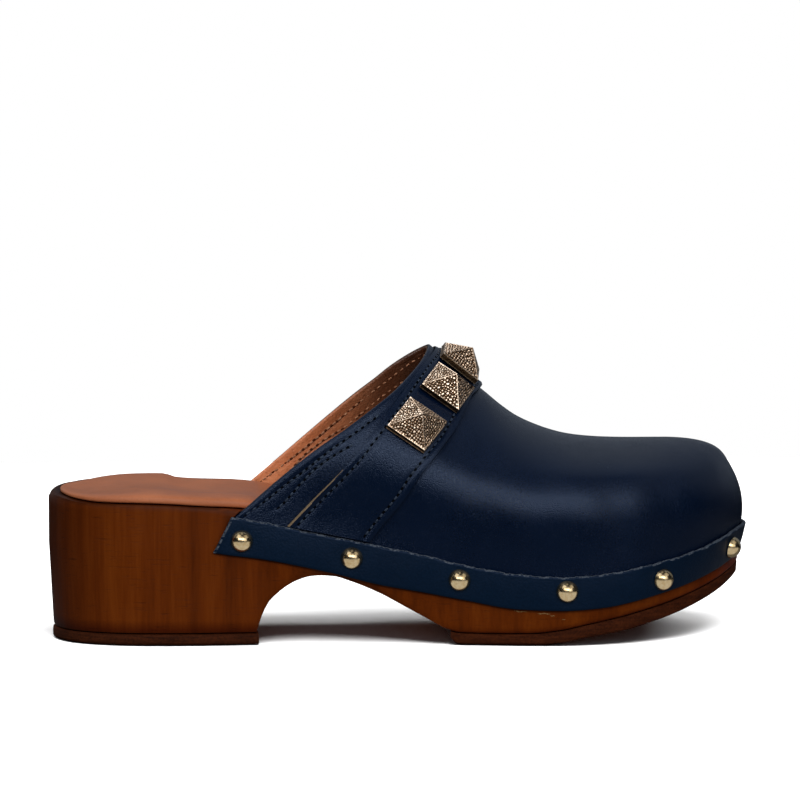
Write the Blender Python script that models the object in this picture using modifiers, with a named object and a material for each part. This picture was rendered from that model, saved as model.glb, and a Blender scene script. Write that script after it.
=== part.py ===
"""Wooden-soled clog mule, right shoe.

A carved wooden sole with a block heel, an open arch and a platform forefoot
with toe spring.  A closed-toe leather upper, open at the back, sits in a
rebate round the sole's edge and is held by a nailed leather rand.  A strap
with pyramid studs crosses the instep.

Design frame, millimetres: X runs from the back of the heel (0) to the toe,
Y is negative on the outer (lateral) side and positive on the inner (medial)
side, Z is height above the floor.  Everything hangs on one empty that turns
this into metres with the origin at the middle of the footprint.
"""
import math

import bmesh
import bpy
import numpy as np
from mathutils import Matrix, Vector

# ------------------------------------------------------------------ sizes, mm
LENGTH = 253.1          # wooden sole, heel back to toe tip
GAP = 0.3               # between pieces that touch
UPPER_WALL = 2.2        # leather with its lining
REBATE = 3.2            # depth of the seat cut for the upper in the sole
REBATE_LIP = 1.5        # height of the seat above the rand's lower edge
OVERLAY = 1.6           # strap and rand leather
RAND_BACK = 58.0        # rear end of the rand at its lower edge
RAND_SLANT = 0.52       # slope of the rand's cut end, X per Z
INSOLE_ROUND = 2.2      # padded edge
LIFT_THICK = 3.8        # heel top piece
LIFT_FRONT = 74.4
OUTSOLE_BACK = 142.0
POLE_X = 222.0          # the toe's meridians meet here on the ridge
BULGE = 1.0             # leather swells over the rand by this much
NAIL_RADIUS = 3.9
NAIL_HEIGHT = 3.0
NAIL_PITCH = 38.1
STUD_SIDE = 16.0
STUD_PLATE = 2.0
STUD_HEIGHT = 8.6

# ------------------------------------------------------------- section tables
# plan of the wooden sole: spine and half widths to the two sides
OUTLINE = dict(
    x=(0, 6, 16, 32, 50, 75, 100, 125, 150, 175, 190, 205, 220, 232, 242, 249, LENGTH),
    spine=(0, 0, 0, 0, 0, 0, 0, .5, 1.5, 3, 4, 5, 6.5, 7.5, 8.5, 9, 9),
    lat=(0, 17.5, 25.5, 30.5, 31.8, 31, 31.5, 34.5, 40.5, 46, 48, 46.5, 41.5, 34.5, 25.5, 15, 0),
    med=(0, 17.5, 25.5, 30.5, 31.8, 31, 29.5, 29, 33, 40, 43, 43.5, 40.5, 35, 27.5, 16.5, 0))
# upper and lower edge of the rand
BAND = dict(
    x=(50, 64, 75, 97, 118.5, 133, 147, 167, 181, 196, 211, 227, 239, 248, LENGTH),
    top=(47.6, 45.2, 43.6, 39.4, 35.2, 32.3, 29.0, 25.8, 24.9, 25.8, 28.1, 31.2, 34.5, 37.6, 38.8),
    bottom=(34.6, 32.3, 30.8, 26.4, 21.2, 18.8, 16.3, 13.1, 12.7, 13.6, 16.2, 19.8, 23.2, 26.0, 27.4))
# how far the sole's side leans in at the rand's lower edge and at the bottom
LEAN = dict(
    x=(0, 75, 110, 150, 200, 235, LENGTH),
    band=(0, 0, .2, .6, .8, 2.0, 3.2),
    base=(1.6, 1.6, 1.4, 2.0, 2.2, 1.8, 1.4))
# edge of the footbed on the outer side
RIM = dict(
    x=(0, 3, 10, 18, 32, 42, 56, 69, 85, 100, 125, 150, 175, 190, 205, 220, 235, 245, LENGTH),
    z=(53.4, 52.8, 51.3, 50.6, 50.5, 50.2, 49.2, 48.3, 44.9, 40.8, 34.6, 28.6, 25.3, 24.8, 26.0, 28.6, 32.2, 35.4, 37.6))
# arch support: rise of the inner edge over the outer one, and hollow of the bed
BED = dict(
    x=(0, 3, 8, 15, 30, 40, 48, 62, 80, 110, 140, 170, 195, LENGTH),
    rise=(0, 1.4, 2.9, 4.0, 4.5, 4.4, 4.3, 4.7, 5.4, 4.6, 2.4, .9, 0, 0),
    dish=(.6, 1.0, 1.4, 1.8, 2.2, 2.3, 2.3, 2.2, 1.9, 1.4, 1.4, 1.6, 1.6, .8))
# underside of the wood: heel seat, breast, arch, forefoot, toe spring
UNDER = dict(
    x=(0, 73.6, 74.3, 75.4, 76.5, 78.2, 81.1, 84, 88, 92.5, 96.1, 101, 106.7, 112.4, 118.1, 123.7,
       129.4, 135, 141, 146, 160, 172, 180, 189, 204, 219.4, 236, 249.3, LENGTH),
    z=(4.1, 4.1, 6.5, 10, 12.5, 15.4, 18.2, 20.5, 22.7, 24.1, 24.4, 24.1, 22.4, 20.2, 17.6, 14.6,
       11.4, 8.3, 5.2, 4.2, 4.1, 4.3, 5.2, 7.0, 9.9, 13.3, 18.0, 22.9, 24.8))
# walking side of the forefoot rubber
TREAD = dict(
    x=(OUTSOLE_BACK, 145, 174, 180, 189, 204, 219.4, 236, 246, LENGTH),
    z=(1.8, 0, 0, .6, 2.3, 4.6, 7.9, 12.9, 16.9, 20.4))
# edge of the insole, inside the sole's outline, and how thick it is there
SOCK = dict(
    x=(0, 8, 20, 30, 42, 47, 62, 90, LENGTH),
    lat=(4.2, 2.4, 1.3, 1.3, 1.3, 1.4, 4.2, 4.2, 4.2),
    med=(4.2, 4.6, 2.4, 1.5, 1.5, 3.6, 4.2, 4.2, 4.2),
    thick_lat=(1.4, 2.2, 3.2, 3.6, 3.7, 3.7, 3.7, 3.4, 3.2),
    thick_med=(1.4, .8, .9, 1.0, 1.4, .8, .8, 1.4, 3.2))
# ridge of the upper over the instep and along the vamp
RIDGE = dict(
    x=(55, 90, 115, 128, 138.6, 141, 145.5, 149.5, 158.6, 164.4, 170.3, 176.1, 182, 187.8, 193.7, 202.5, 214, POLE_X),
    y=(4, 6, 9, 12, 12.5, 12.5, 12.5, 12.5, 11.5, 10.6, 9.8, 9, 8.4, 8.3, 8.4, 8.6, 8.9, 9),
    z=(118, 124, 119, 111.6, 104, 101.9, 97.3, 93.9, 86.8, 81.9, 77.8, 75.1, 73, 71.5, 70.6, 69.9, 69.5, 69.4))
# shoulder of each section, where wall turns into crown: inset from the
# outline, height and slope of the surface there, and the share of the crown's
# width that stays level, on either side
SHOULDER = dict(
    x=(55, 80, 100, 115, 131, 141, 150, 160, 175, 190, 205, POLE_X),
    in_lat=(2, 2.2, 2.3, 2.4, 3.7, 4.4, 4.0, 3.2, 2.6, 2.5, 2.8, 3.2),
    z_lat=(72, 78, 80, 79.8, 74.2, 69.5, 65.2, 62.2, 59.5, 59, 59, 58),
    turn_lat=(10, 14, 22.5, 29, 38, 41, 42.5, 41.5, 41, 39, 38.3, 38.1),
    level_lat=(.4, .38, .36, .34, .29, .27, .31, .335, .355, .376, .39, .4),
    in_med=(2, 2.5, 2.8, 3, 3.2, 3.4, 3.6, 3.6, 3.5, 3.5, 3.5, 4),
    z_med=(72, 78, 82, 83, 79, 75, 69, 62.5, 55, 52.5, 53, 55),
    turn_med=(8, 11, 15, 19, 24, 26, 28, 31, 35, 38, 38, 38),
    level_med=(.4, .4, .4, .4, .4, .4, .4, .4, .4, .4, .4, .4))
TOE_SHOULDER = dict(inset=6.5, z=63.2, turn=33)   # the same at the toe tip
WALL_PULL = 0.42        # share of the wall's height that stays upright
TOE_LEVEL = .58         # share of the crown's width that stays level at the toe tip
CROWN_REACH = dict(side=.62, toe=.76)   # how far the crown keeps the shoulder's slope
# top line of the open back, seen from the side
COLLAR = dict(
    z=(20, 33, 44.7, 50, 60, 70, 77, 85, 90.5, 96, 100, 104.2),
    lat=(58.5, 61.8, 65.0, 70.9, 82.3, 94.8, 105, 116.2, 124.1, 130.6, 135, 138.8),
    med=(58.5, 61.8, 65.0, 71.4, 83.2, 94.6, 102.6, 112, 119, 125.6, 131.5, 138.8))
# the strap's two edges, seen from the side
STRAP = dict(
    z=(30, 41.5, 52.6, 63.2, 68.2, 74, 80, 86, 90, 95, 98, 101.7, 103, 106),
    back=(73, 83.5, 94, 104.5, 109, 113.6, 118.4, 123.4, 127, 131.6, 134.8, 139.6, 141.2, 144))
STRAP_FRONT = dict(
    z=(30, 36.5, 43.6, 53, 60.9, 67, 75.1, 80, 83, 85.8, 87.2, 88.2, 90),
    x=(109, 113.5, 118.8, 126.2, 131.5, 136.8, 144.2, 147.6, 149.6, 151.8, 154.3, 157.0, 161))
# nails on the outer side: place, and height above the middle of the rand
NAILS = dict(x=(68.1, 107.4, 145.5, 183.2, 217.8, 246.3), rise=(-.7, .5, .7, 1, -.6, -.2))
# studs: section, side, share of the way from the rand up to the ridge, and
# how far the square is slewed outwards on its way across the strap
STUDS = dict(
    x=(129.9, 141.5, 147.1, 143.5, 129.5),
    side=(-1, -1, -1, 1, 1),
    share=(.513, .684, .907, .70, .46),
    slew=(.20, .144, 0, .144, .20))
ACROSS = dict(x=.81, z=-.57)    # across the strap, from its back to its front edge


# ------------------------------------------------------------------ functions
def hermite(xs, ys, x):
    """Smooth monotone curve through a table's rows."""
    xs, ys = np.asarray(xs, float), np.asarray(ys, float)
    x = np.clip(np.asarray(x, float), xs[0], xs[-1])
    h, d = np.diff(xs), np.diff(ys) / np.diff(xs)
    m = np.zeros_like(xs)
    for i in range(1, len(xs) - 1):
        if d[i - 1] * d[i] > 0:
            w1, w2 = 2 * h[i] + h[i - 1], h[i] + 2 * h[i - 1]
            m[i] = (w1 + w2) / (w1 / d[i - 1] + w2 / d[i])
    m[0], m[-1] = d[0], d[-1]
    k = np.clip(np.searchsorted(xs, x, side='right') - 1, 0, len(h) - 1)
    t = (x - xs[k]) / h[k]
    return ((2 * t**3 - 3 * t**2 + 1) * ys[k] + (t**3 - 2 * t**2 + t) * h[k] * m[k]
            + (3 * t**2 - 2 * t**3) * ys[k + 1] + (t**3 - t**2) * h[k] * m[k + 1])


def col(table, name, at, key='x'):
    return hermite(table[key], table[name], at)


TURN = np.linspace(0, math.pi, 1201)
TURN_X = LENGTH * (1 - np.cos(TURN)) / 2


def half_outline(name, side):
    half = np.sqrt(np.maximum(hermite(OUTLINE['x'], np.array(OUTLINE[name])**2, TURN_X), 0))
    y = col(OUTLINE, 'spine', TURN_X) + side * half
    n = np.stack([-side * np.gradient(y, TURN), side * np.gradient(TURN_X, TURN)], 1)
    n[0], n[-1] = (-1, 0), (1, 0)
    return y, n / np.linalg.norm(n, axis=1)[:, None]


EDGES = {-1: half_outline('lat', -1), 1: half_outline('med', 1)}


def edge(x, side, off=0.0):
    """Point of the sole's outline at x, moved outwards by off."""
    a = np.arccos(np.clip(1 - 2 * np.asarray(x, float) / LENGTH, -1, 1))
    y, n = EDGES[side]
    nx, ny = np.interp(a, TURN, n[:, 0]), np.interp(a, TURN, n[:, 1])
    ln = np.hypot(nx, ny)
    return x + off * nx / ln, np.interp(a, TURN, y) + off * ny / ln


def stations(x0, x1, count):
    """Stations that crowd together towards the round ends of the outline."""
    a0, a1 = (math.acos(1 - 2 * min(max(v / LENGTH, 0), 1)) for v in (x0, x1))
    return LENGTH * (1 - np.cos(np.linspace(a0, a1, count))) / 2


def wall_off(x, z):
    """Lean of the sole's side at a height, as an offset from the outline."""
    x, z = np.asarray(x, float), np.asarray(z, float)
    zt = np.where(x > 64, col(BAND, 'top', x), col(RIM, 'z', x))
    zb, zu = col(BAND, 'bottom', x), col(UNDER, 'z', x)
    lb, lu = col(LEAN, 'band', x), col(LEAN, 'base', x)
    upper = -lb * np.clip((zt - z) / (zt - zb), 0, 1)
    lower = -(lu - lb) * np.clip((zb - z) / np.maximum(zb - zu, 1e-6), 0, 1)
    return upper + lower


def rim_z(x, side):
    return col(RIM, 'z', x) + (col(BED, 'rise', x) if side > 0 else 0)


def bed_z(x, y):
    """Top of the wood under the insole."""
    _, yl = edge(x, -1)
    _, ym = edge(x, 1)
    v = np.clip((y - yl) / np.maximum(ym - yl, 1e-3), 0, 1)
    return rim_z(x, -1) * (1 - v) + rim_z(x, 1) * v - col(BED, 'dish', x) * 4 * v * (1 - v)


def bezier(a, b, c, d, t):
    s = 1 - t
    return s**3 * a + 3 * s * s * t * b + 3 * s * t * t * c + t**3 * d


def profile(width, z0, z1, inset, zs, turn, level, t, toe=0.0):
    """Wall and crown of one meridian: inset and height for t from 0 to 1."""
    t = np.clip(t, 0, 1)
    level = level + toe * (TOE_LEVEL - level)
    keep = CROWN_REACH['side'] + toe * (CROWN_REACH['toe'] - CROWN_REACH['side'])
    r = np.radians(turn)
    pull = WALL_PULL * (zs - z0)
    lo = np.clip(2 * t, 0, 1)
    u_lo = bezier(0, 0, inset - pull * np.sin(r), inset, lo)
    z_lo = bezier(z0, z0 + pull, zs - pull * np.cos(r), zs, lo)
    rise = z1 - zs
    reach = keep * rise / np.cos(r)
    hi = np.clip(2 * t - 1, 0, 1)
    u_hi = bezier(inset, inset + reach * np.sin(r), width - level * (width - inset), width, hi)
    z_hi = bezier(zs, zs + reach * np.cos(r), z1, z1, hi)
    swell = (1 - (1 - lo)**6) * (1 - t)**2
    return np.where(t < 0.5, u_lo, u_hi), np.where(t < 0.5, z_lo, z_hi), swell


def feather(x):
    return col(BAND, 'top', x) + 0.3


def section(x, side, t):
    """Outer surface of the upper in the plane x; t runs from rand to ridge."""
    x, t = np.asarray(x, float), np.asarray(t, float)
    s = 'lat' if side < 0 else 'med'
    _, y0 = edge(x, side)
    yr, zr = col(RIDGE, 'y', x), col(RIDGE, 'z', x)
    u, z, swell = profile(np.abs(yr - y0), feather(x), zr, col(SHOULDER, 'in_' + s, x),
                          col(SHOULDER, 'z_' + s, x), col(SHOULDER, 'turn_' + s, x), col(SHOULDER, 'level_' + s, x), t)
    out = BULGE * np.clip((x - 100) / 50, 0, 1) * swell
    return np.stack(np.broadcast_arrays(x, y0 - side * (u - out), z), -1)


def fan(x, side, t):
    """Outer surface round the toe, from the outline point at x to the pole."""
    x, t = np.asarray(x, float), np.asarray(t, float)
    s = 'lat' if side < 0 else 'med'
    x0, y0 = edge(x, side)
    yr, zr = col(RIDGE, 'y', POLE_X), col(RIDGE, 'z', POLE_X)
    rx, ry = POLE_X - x0, yr - y0
    width = np.hypot(rx, ry)
    k = np.arctan2(-rx, np.abs(ry)) / (math.pi / 2)
    k = k * k * (3 - 2 * k)
    inset = (1 - k) * col(SHOULDER, 'in_' + s, POLE_X) + k * TOE_SHOULDER['inset']
    zs = (1 - k) * col(SHOULDER, 'z_' + s, POLE_X) + k * TOE_SHOULDER['z']
    turn = (1 - k) * col(SHOULDER, 'turn_' + s, POLE_X) + k * TOE_SHOULDER['turn']
    level = col(SHOULDER, 'level_' + s, POLE_X)
    u, z, swell = profile(width, feather(x), zr, inset, zs, turn, level, t, k)
    u = u - BULGE * swell
    return np.stack(np.broadcast_arrays(x0 + rx * u / width, y0 + ry * u / width, z), -1)


def between(back, front, share, side, t):
    """Point of a section at a share of the way between two slanted lines."""
    share, t = np.broadcast_arrays(np.asarray(share, float), np.asarray(t, float))
    lo, hi = np.full(t.shape, 55.0), np.full(t.shape, POLE_X)
    for _ in range(44):
        mid = (lo + hi) / 2
        z = section(mid, side, t)[..., 2]
        b, f = back(z), front(z)
        ahead = mid < b + share * (f - b)
        lo, hi = np.where(ahead, mid, lo), np.where(ahead, hi, mid)
    return section((lo + hi) / 2, side, t)


def collar_x(side):
    return lambda z: col(COLLAR, 'lat' if side < 0 else 'med', z, 'z')


def strap_back(z):
    return col(STRAP, 'back', z, 'z')


def strap_front(z):
    return col(STRAP_FRONT, 'x', z, 'z')


def pole_plane(z):
    return np.full(np.shape(z), POLE_X)


def outward(points):
    """Unit normals of a grid of points that runs rand - ridge - rand."""
    n = np.cross(np.gradient(points, axis=0), np.gradient(points, axis=1))
    n /= np.linalg.norm(n, axis=-1)[..., None]
    return n if n[..., 2].sum() > 0 else -n


def frame_at(x, side, t, step=0.4):
    """Point, outward normal and upward girth direction on the upper."""
    p = section(x, side, t)
    along = section(x + step, side, t) - section(x - step, side, t)
    up = section(x, side, min(t + .01, 1)) - section(x, side, t - .01)
    n = np.cross(along, up)
    n /= np.linalg.norm(n)
    if n[2] < 0 or n[1] * side < -0.5:
        n = -n
    return p, n


# ------------------------------------------------------------------- builders
def material(name, colour, roughness, metallic=0.0):
    m = bpy.data.materials.new(name)
    m.use_nodes = True
    b = m.node_tree.nodes['Principled BSDF']
    b.inputs['Base Color'].default_value = (*colour, 1)
    b.inputs['Roughness'].default_value = roughness
    b.inputs['Metallic'].default_value = metallic
    m.diffuse_color = (*colour, 1)
    return m


def add_object(name, mesh, mat, smooth=None):
    obj = bpy.data.objects.new(name, mesh)
    shoe.objects.link(obj)
    obj.parent = root
    obj.data.materials.append(mat)
    if smooth is not None:
        mesh.shade_smooth()
        mesh.set_sharp_from_angle(angle=math.radians(smooth))
    return obj


def grid_mesh(name, rows, ring=False, caps=False):
    """Skin between rows of equally many points, in millimetres."""
    rows = np.asarray(rows, float)
    n, m = rows.shape[:2]
    bm = bmesh.new()
    vs = [[bm.verts.new(p) for p in row] for row in rows]
    last = m if ring else m - 1
    for i in range(n - 1):
        for j in range(last):
            k = (j + 1) % m
            bm.faces.new((vs[i][j], vs[i][k], vs[i + 1][k], vs[i + 1][j]))
    if caps:
        bm.faces.new(vs[0])
        bm.faces.new(vs[-1])
    bmesh.ops.remove_doubles(bm, verts=bm.verts, dist=1e-4)
    bmesh.ops.recalc_face_normals(bm, faces=bm.faces)
    if ring and bm.calc_volume(signed=True) < 0:
        bmesh.ops.reverse_faces(bm, faces=bm.faces)
    mesh = bpy.data.meshes.new(name)
    bm.to_mesh(mesh)
    bm.free()
    return mesh


def point_out(mesh, upward=True):
    """Turn an open shell's faces so that its crown points up."""
    bm = bmesh.new()
    bm.from_mesh(mesh)
    bm.normal_update()
    if (sum(f.normal.z * f.calc_area() for f in bm.faces) > 0) != upward:
        bmesh.ops.reverse_faces(bm, faces=bm.faces)
    bm.to_mesh(mesh)
    bm.free()


def shell(obj, thickness, offset):
    mod = obj.modifiers.new('leather', 'SOLIDIFY')
    mod.thickness = thickness
    mod.offset = offset
    mod.use_even_offset = True
    mod.use_rim = True


def build_wood():
    """Sole: rings of points round the section at each station."""
    step = float(collar_x(-1)(34.0)) - 0.5
    xs = np.concatenate([stations(0, 56, 11), [step - .12, step, 66, 70, 73.6, 74.3, 75.4, 76.5, 78.2, 81.1, 84.5,
                         88.5, 93, 98, 104, 111, 118, 125, 132, 138, 143, 149, 157, 165, 174, 183, 192, 201, 210, 216],
                         stations(POLE_X, LENGTH, 12)])
    rings = []
    for x in xs:
        cut = REBATE if x >= step else 0.0
        slant = np.interp(x, (40, step, 104), (0, 1, 0))
        ledge = col(BAND, 'bottom', x) + REBATE_LIP
        walls = {}
        for side in (-1, 1):
            base = -col(LEAN, 'base', x)
            under = col(UNDER, 'z', x)
            pts = []
            foot = col(BAND, 'bottom', x)
            for z, off in ((under, base - 1.2), (under + 1.0, base), (foot - .1, wall_off(x, foot)), (ledge, wall_off(x, ledge)),
                           (ledge + (0 if cut else 1.0), wall_off(x, ledge) - cut)):
                ex, ey = edge(x, side, off)
                pts.append((float(ex), float(ey), float(z)))
            z = np.clip(col(BAND, 'top', x), ledge + 2.5, rim_z(x, -1) - 1.8)
            ex, ey = edge(x + slant * (collar_x(side)(z) - collar_x(side)(ledge)), side, wall_off(x, z) - cut)
            pts.append((float(ex), float(ey), float(z)))
            for drop, off in ((1.0, -cut), (0.0, -cut - 1.0)):
                z = rim_z(x, side)
                for _ in range(6):
                    lean = slant * (collar_x(side)(z - drop) - collar_x(side)(ledge))
                    ex, ey = edge(x + lean, side, off)
                    z = bed_z(ex, ey)
                pts.append((float(ex), float(ey), float(z - drop)))
            walls[side] = pts
        a, b = np.array(walls[-1][-1]), np.array(walls[1][-1])
        bed = []
        for v in np.linspace(0, 1, 8)[1:-1]:
            p = a + (b - a) * v
            bed.append((p[0], p[1], float(bed_z(p[0], p[1]))))
        rings.append(walls[-1] + bed + walls[1][::-1])
    return grid_mesh('wood_sole', rings, ring=True)


def build_insole():
    xs = np.concatenate([stations(0, 60, 12), np.arange(68, 200, 10), stations(206, LENGTH, 12)])
    rings = []
    for x in xs:
        edges = {}
        for side, name in ((-1, 'lat'), (1, 'med')):
            edges[side] = [edge(x, side, -float(col(SOCK, name, x)) - d) for d in (0.5, 0.0, 0.0, 0.7, INSOLE_ROUND)]
        thick = {side: float(col(SOCK, name, x)) for side, name in ((-1, 'thick_lat'), (1, 'thick_med'))}
        lift = (0, .18, .55, .86, 1)
        ring = []
        for e, h in zip(edges[-1], lift):
            ring.append((*e, float(bed_z(e[0], e[1])) + GAP + .15 + h * thick[-1]))
        a, b = np.array(edges[-1][-1]), np.array(edges[1][-1])
        for v in np.linspace(0, 1, 6)[1:-1]:
            p = a + (b - a) * v
            ring.append((*p, float(bed_z(p[0], p[1])) + GAP + .15 + thick[-1] * (1 - v) + thick[1] * v))
        for e, h in list(zip(edges[1], lift))[::-1]:
            ring.append((*e, float(bed_z(e[0], e[1])) + GAP + .15 + h * thick[1]))
        a, b = np.array(edges[1][0]), np.array(edges[-1][0])
        for v in np.linspace(0, 1, 6)[1:-1]:
            p = a + (b - a) * v
            ring.append((*p, float(bed_z(p[0], p[1])) + GAP + .15))
        rings.append(ring)
    return grid_mesh('insole', rings, ring=True)


def build_outsole():
    xs = np.concatenate([[OUTSOLE_BACK, 145, 150, 160, 170, 174], stations(179, LENGTH, 15)])
    rings = []
    for x in xs:
        low, high = float(col(TREAD, 'z', x)), float(col(UNDER, 'z', x)) - GAP
        inset = -float(col(LEAN, 'base', x))
        ring = []
        for side in (-1, 1):
            pts = [(*edge(x, side, inset - 1.4), low), (*edge(x, side, inset - .5), low + .9),
                   (*edge(x, side, inset - .2), high)]
            ring += pts if side < 0 else pts[::-1]
        rings.append(ring)
    return grid_mesh('forefoot_outsole', rings, ring=True, caps=True)


def build_lift():
    """Heel top piece: a flat outline drawn up to its thickness."""
    xs = stations(0, LIFT_FRONT, 12)
    inset = -float(LEAN['base'][0]) + .25
    lat = [edge(x, -1, inset) for x in xs]
    med = [edge(x, 1, inset) for x in xs[1:]]
    bm = bmesh.new()
    face = bm.faces.new([bm.verts.new((float(p[0]), float(p[1]), 0)) for p in lat[::-1] + med])
    grown = bmesh.ops.extrude_face_region(bm, geom=[face])
    up = [v for v in grown['geom'] if isinstance(v, bmesh.types.BMVert)]
    bmesh.ops.translate(bm, verts=up, vec=(0, 0, LIFT_THICK))
    bmesh.ops.recalc_face_normals(bm, faces=bm.faces)
    mesh = bpy.data.meshes.new('heel_lift')
    bm.to_mesh(mesh)
    bm.free()
    return mesh


WALL_SHARES = np.concatenate([np.linspace(0, .5, 7), np.linspace(.5, 1, 8)[1:]])


def build_upper():
    """Open shell of the upper's outer face; its wall grows inwards."""
    bm = bmesh.new()

    def skirt(p, x, side):
        """Two rows below the feather line, down to the seat in the sole."""
        top, out = float(feather(x)), []
        fade = float(np.clip((120 - x) / 50, 0, 1))
        for f in (0.0, 0.5):
            xx = x
            for _ in range(6):
                low = float(col(BAND, 'bottom', xx)) + REBATE_LIP + GAP + .15
                z = low + f * (top - low)
                xx = x + fade * float(collar_x(side)(z) - collar_x(side)(p[2]))
            ex, ey = edge(xx, side, float(wall_off(xx, z)))
            out.append((float(ex), float(ey), z))
        return out

    shares = np.concatenate([np.linspace(0, .3, 5), np.linspace(.3, 1, 11)[1:]])
    body = []
    for s in shares:
        row = {}
        for side in (-1, 1):
            p = between(collar_x(side), pole_plane, s, side, WALL_SHARES)
            row[side] = skirt(p[0], float(p[0][0]), side) + [tuple(q) for q in p]
        body.append(row[-1] + row[1][::-1][1:])
    toe_x = stations(POLE_X, LENGTH, 12)
    toe = {}
    for side in (-1, 1):
        toe[side] = [skirt(fan(x, side, 0.0), float(x), side) + [tuple(q) for q in fan(x, side, WALL_SHARES)]
                     for x in toe_x]
    for rows in (body, toe[-1], toe[1]):
        vs = [[bm.verts.new(p) for p in r] for r in rows]
        for i in range(len(vs) - 1):
            for j in range(len(vs[0]) - 1):
                quad = [vs[i][j], vs[i][j + 1], vs[i + 1][j + 1], vs[i + 1][j]]
                bm.faces.new(quad)
    bmesh.ops.remove_doubles(bm, verts=bm.verts, dist=1e-3)
    bmesh.ops.recalc_face_normals(bm, faces=bm.faces)
    mesh = bpy.data.meshes.new('upper')
    bm.to_mesh(mesh)
    bm.free()
    point_out(mesh)
    return mesh


def build_strap():
    """Strap skin just off the upper, from one end of the rand to the other."""
    shares = np.linspace(0, 1, 6)
    ts = np.concatenate([np.linspace(.012, .5, 8), np.linspace(.5, 1, 8)[1:]])
    rows = []
    for s in shares:
        lat = between(strap_back, strap_front, s, -1, ts)
        med = between(strap_back, strap_front, s, 1, ts)
        rows.append(np.concatenate([lat, med[::-1][1:]]))
    rows = np.array(rows)
    mesh = grid_mesh('instep_strap', rows + (GAP + .05) * outward(rows))
    point_out(mesh)
    return mesh


def build_rand():
    xs = np.concatenate([[RAND_BACK, 64, 72, 80, 90], np.arange(100, 215, 11), stations(222, LENGTH, 12)])
    rings = []
    for side in (-1, 1):
        half = []
        for x in xs:
            slant = np.interp(x, (RAND_BACK, 92), (1, 0))
            ring = []
            zb, zt = float(col(BAND, 'bottom', x)), float(col(BAND, 'top', x))
            for z, off in ((zb, GAP), (zb, GAP + OVERLAY), (zt, GAP + OVERLAY), (zt, GAP)):
                xx = x + slant * RAND_SLANT * (z - zb)
                ring.append((*edge(xx, side, float(wall_off(x, z)) + off), z))
            half.append(ring)
        rings += half if side < 0 else half[::-1][1:]
    return grid_mesh('rand', rings, ring=True, caps=True)


def nail_places():
    """Nails by their table on the outer side, then by pitch round the toe."""
    places = [(x, -1, r) for x, r in zip(NAILS['x'], NAILS['rise'])]
    xs = stations(0, LENGTH, 900)
    run = [np.array(edge(x, -1)) for x in xs if x > NAILS['x'][-1]]
    path = [(x, -1) for x in xs if x > NAILS['x'][-1]] + [(x, 1) for x in xs[::-1]]
    pts = np.array([edge(x, s) for x, s in path])
    length = np.concatenate([[0], np.cumsum(np.linalg.norm(np.diff(pts, axis=0), axis=1))])
    d = NAIL_PITCH
    while True:
        i = int(np.searchsorted(length, d))
        if i >= len(path) or path[i][0] < NAILS['x'][0] - 4:
            return places
        places.append((path[i][0], path[i][1], 0.6))
        d += NAIL_PITCH


def build_nail():
    """Dome: a quarter profile turned about its own axis."""
    r0 = (NAIL_RADIUS**2 + NAIL_HEIGHT**2) / (2 * NAIL_HEIGHT)
    a1 = math.asin(min(1, NAIL_RADIUS / r0))
    bm = bmesh.new()
    pts = [(r0 * math.sin(a), 0, NAIL_HEIGHT - r0 * (1 - math.cos(a))) for a in np.linspace(0, a1, 5)] + [(0, 0, 0)]
    vs = [bm.verts.new(p) for p in pts]
    for a, b in zip(vs, vs[1:]):
        bm.edges.new((a, b))
    mesh = bpy.data.meshes.new('nail')
    bm.to_mesh(mesh)
    bm.free()
    return mesh


def build_stud():
    """Pyramid on a thin square plate."""
    bm = bmesh.new()
    half = STUD_SIDE / math.sqrt(2)
    bmesh.ops.create_cone(bm, cap_ends=True, segments=4, radius1=half, radius2=half, depth=STUD_PLATE,
                          matrix=Matrix.Translation((0, 0, STUD_PLATE / 2)) @ Matrix.Rotation(math.pi / 4, 4, 'Z'))
    top = max(bm.faces, key=lambda f: f.calc_center_median().z)
    apex = bmesh.ops.poke(bm, faces=[top])['verts'][0]
    apex.co.z = STUD_HEIGHT
    bmesh.ops.recalc_face_normals(bm, faces=bm.faces)
    mesh = bpy.data.meshes.new('stud')
    bm.to_mesh(mesh)
    bm.free()
    return mesh


def place(obj, point, normal, up):
    """Stand a piece on a surface, its Z along the normal."""
    z = Vector(normal).normalized()
    y = (Vector(up) - Vector(up).dot(z) * z).normalized()
    x = y.cross(z)
    obj.matrix_local = Matrix.Translation(Vector(point)) @ Matrix((x, y, z)).transposed().to_4x4()


# ----------------------------------------------------------------- the object
for old in list(bpy.data.objects):
    bpy.data.objects.remove(old, do_unlink=True)

shoe = bpy.data.collections.new('clog_mule')
bpy.context.scene.collection.children.link(shoe)
root = bpy.data.objects.new('shoe_frame', None)
shoe.objects.link(root)

WOOD = material('stained_wood', (0.19, 0.072, 0.022), 0.42)
RUBBER = material('heel_rubber', (0.035, 0.018, 0.012), 0.7)
RED_RUBBER = material('forefoot_rubber', (0.075, 0.028, 0.015), 0.65)
TAN = material('tan_leather', (0.47, 0.19, 0.08), 0.5)
NAVY = material('navy_leather', (0.012, 0.018, 0.042), 0.36)
NAVY_STRAP = material('navy_strap_leather', (0.012, 0.017, 0.04), 0.4)
NAVY_RAND = material('navy_rand_leather', (0.01, 0.02, 0.05), 0.45)
BRASS = material('brass', (0.66, 0.5, 0.24), 0.22, 1.0)
GOLD = material('antique_gold', (0.62, 0.52, 0.36), 0.35, 1.0)

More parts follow.
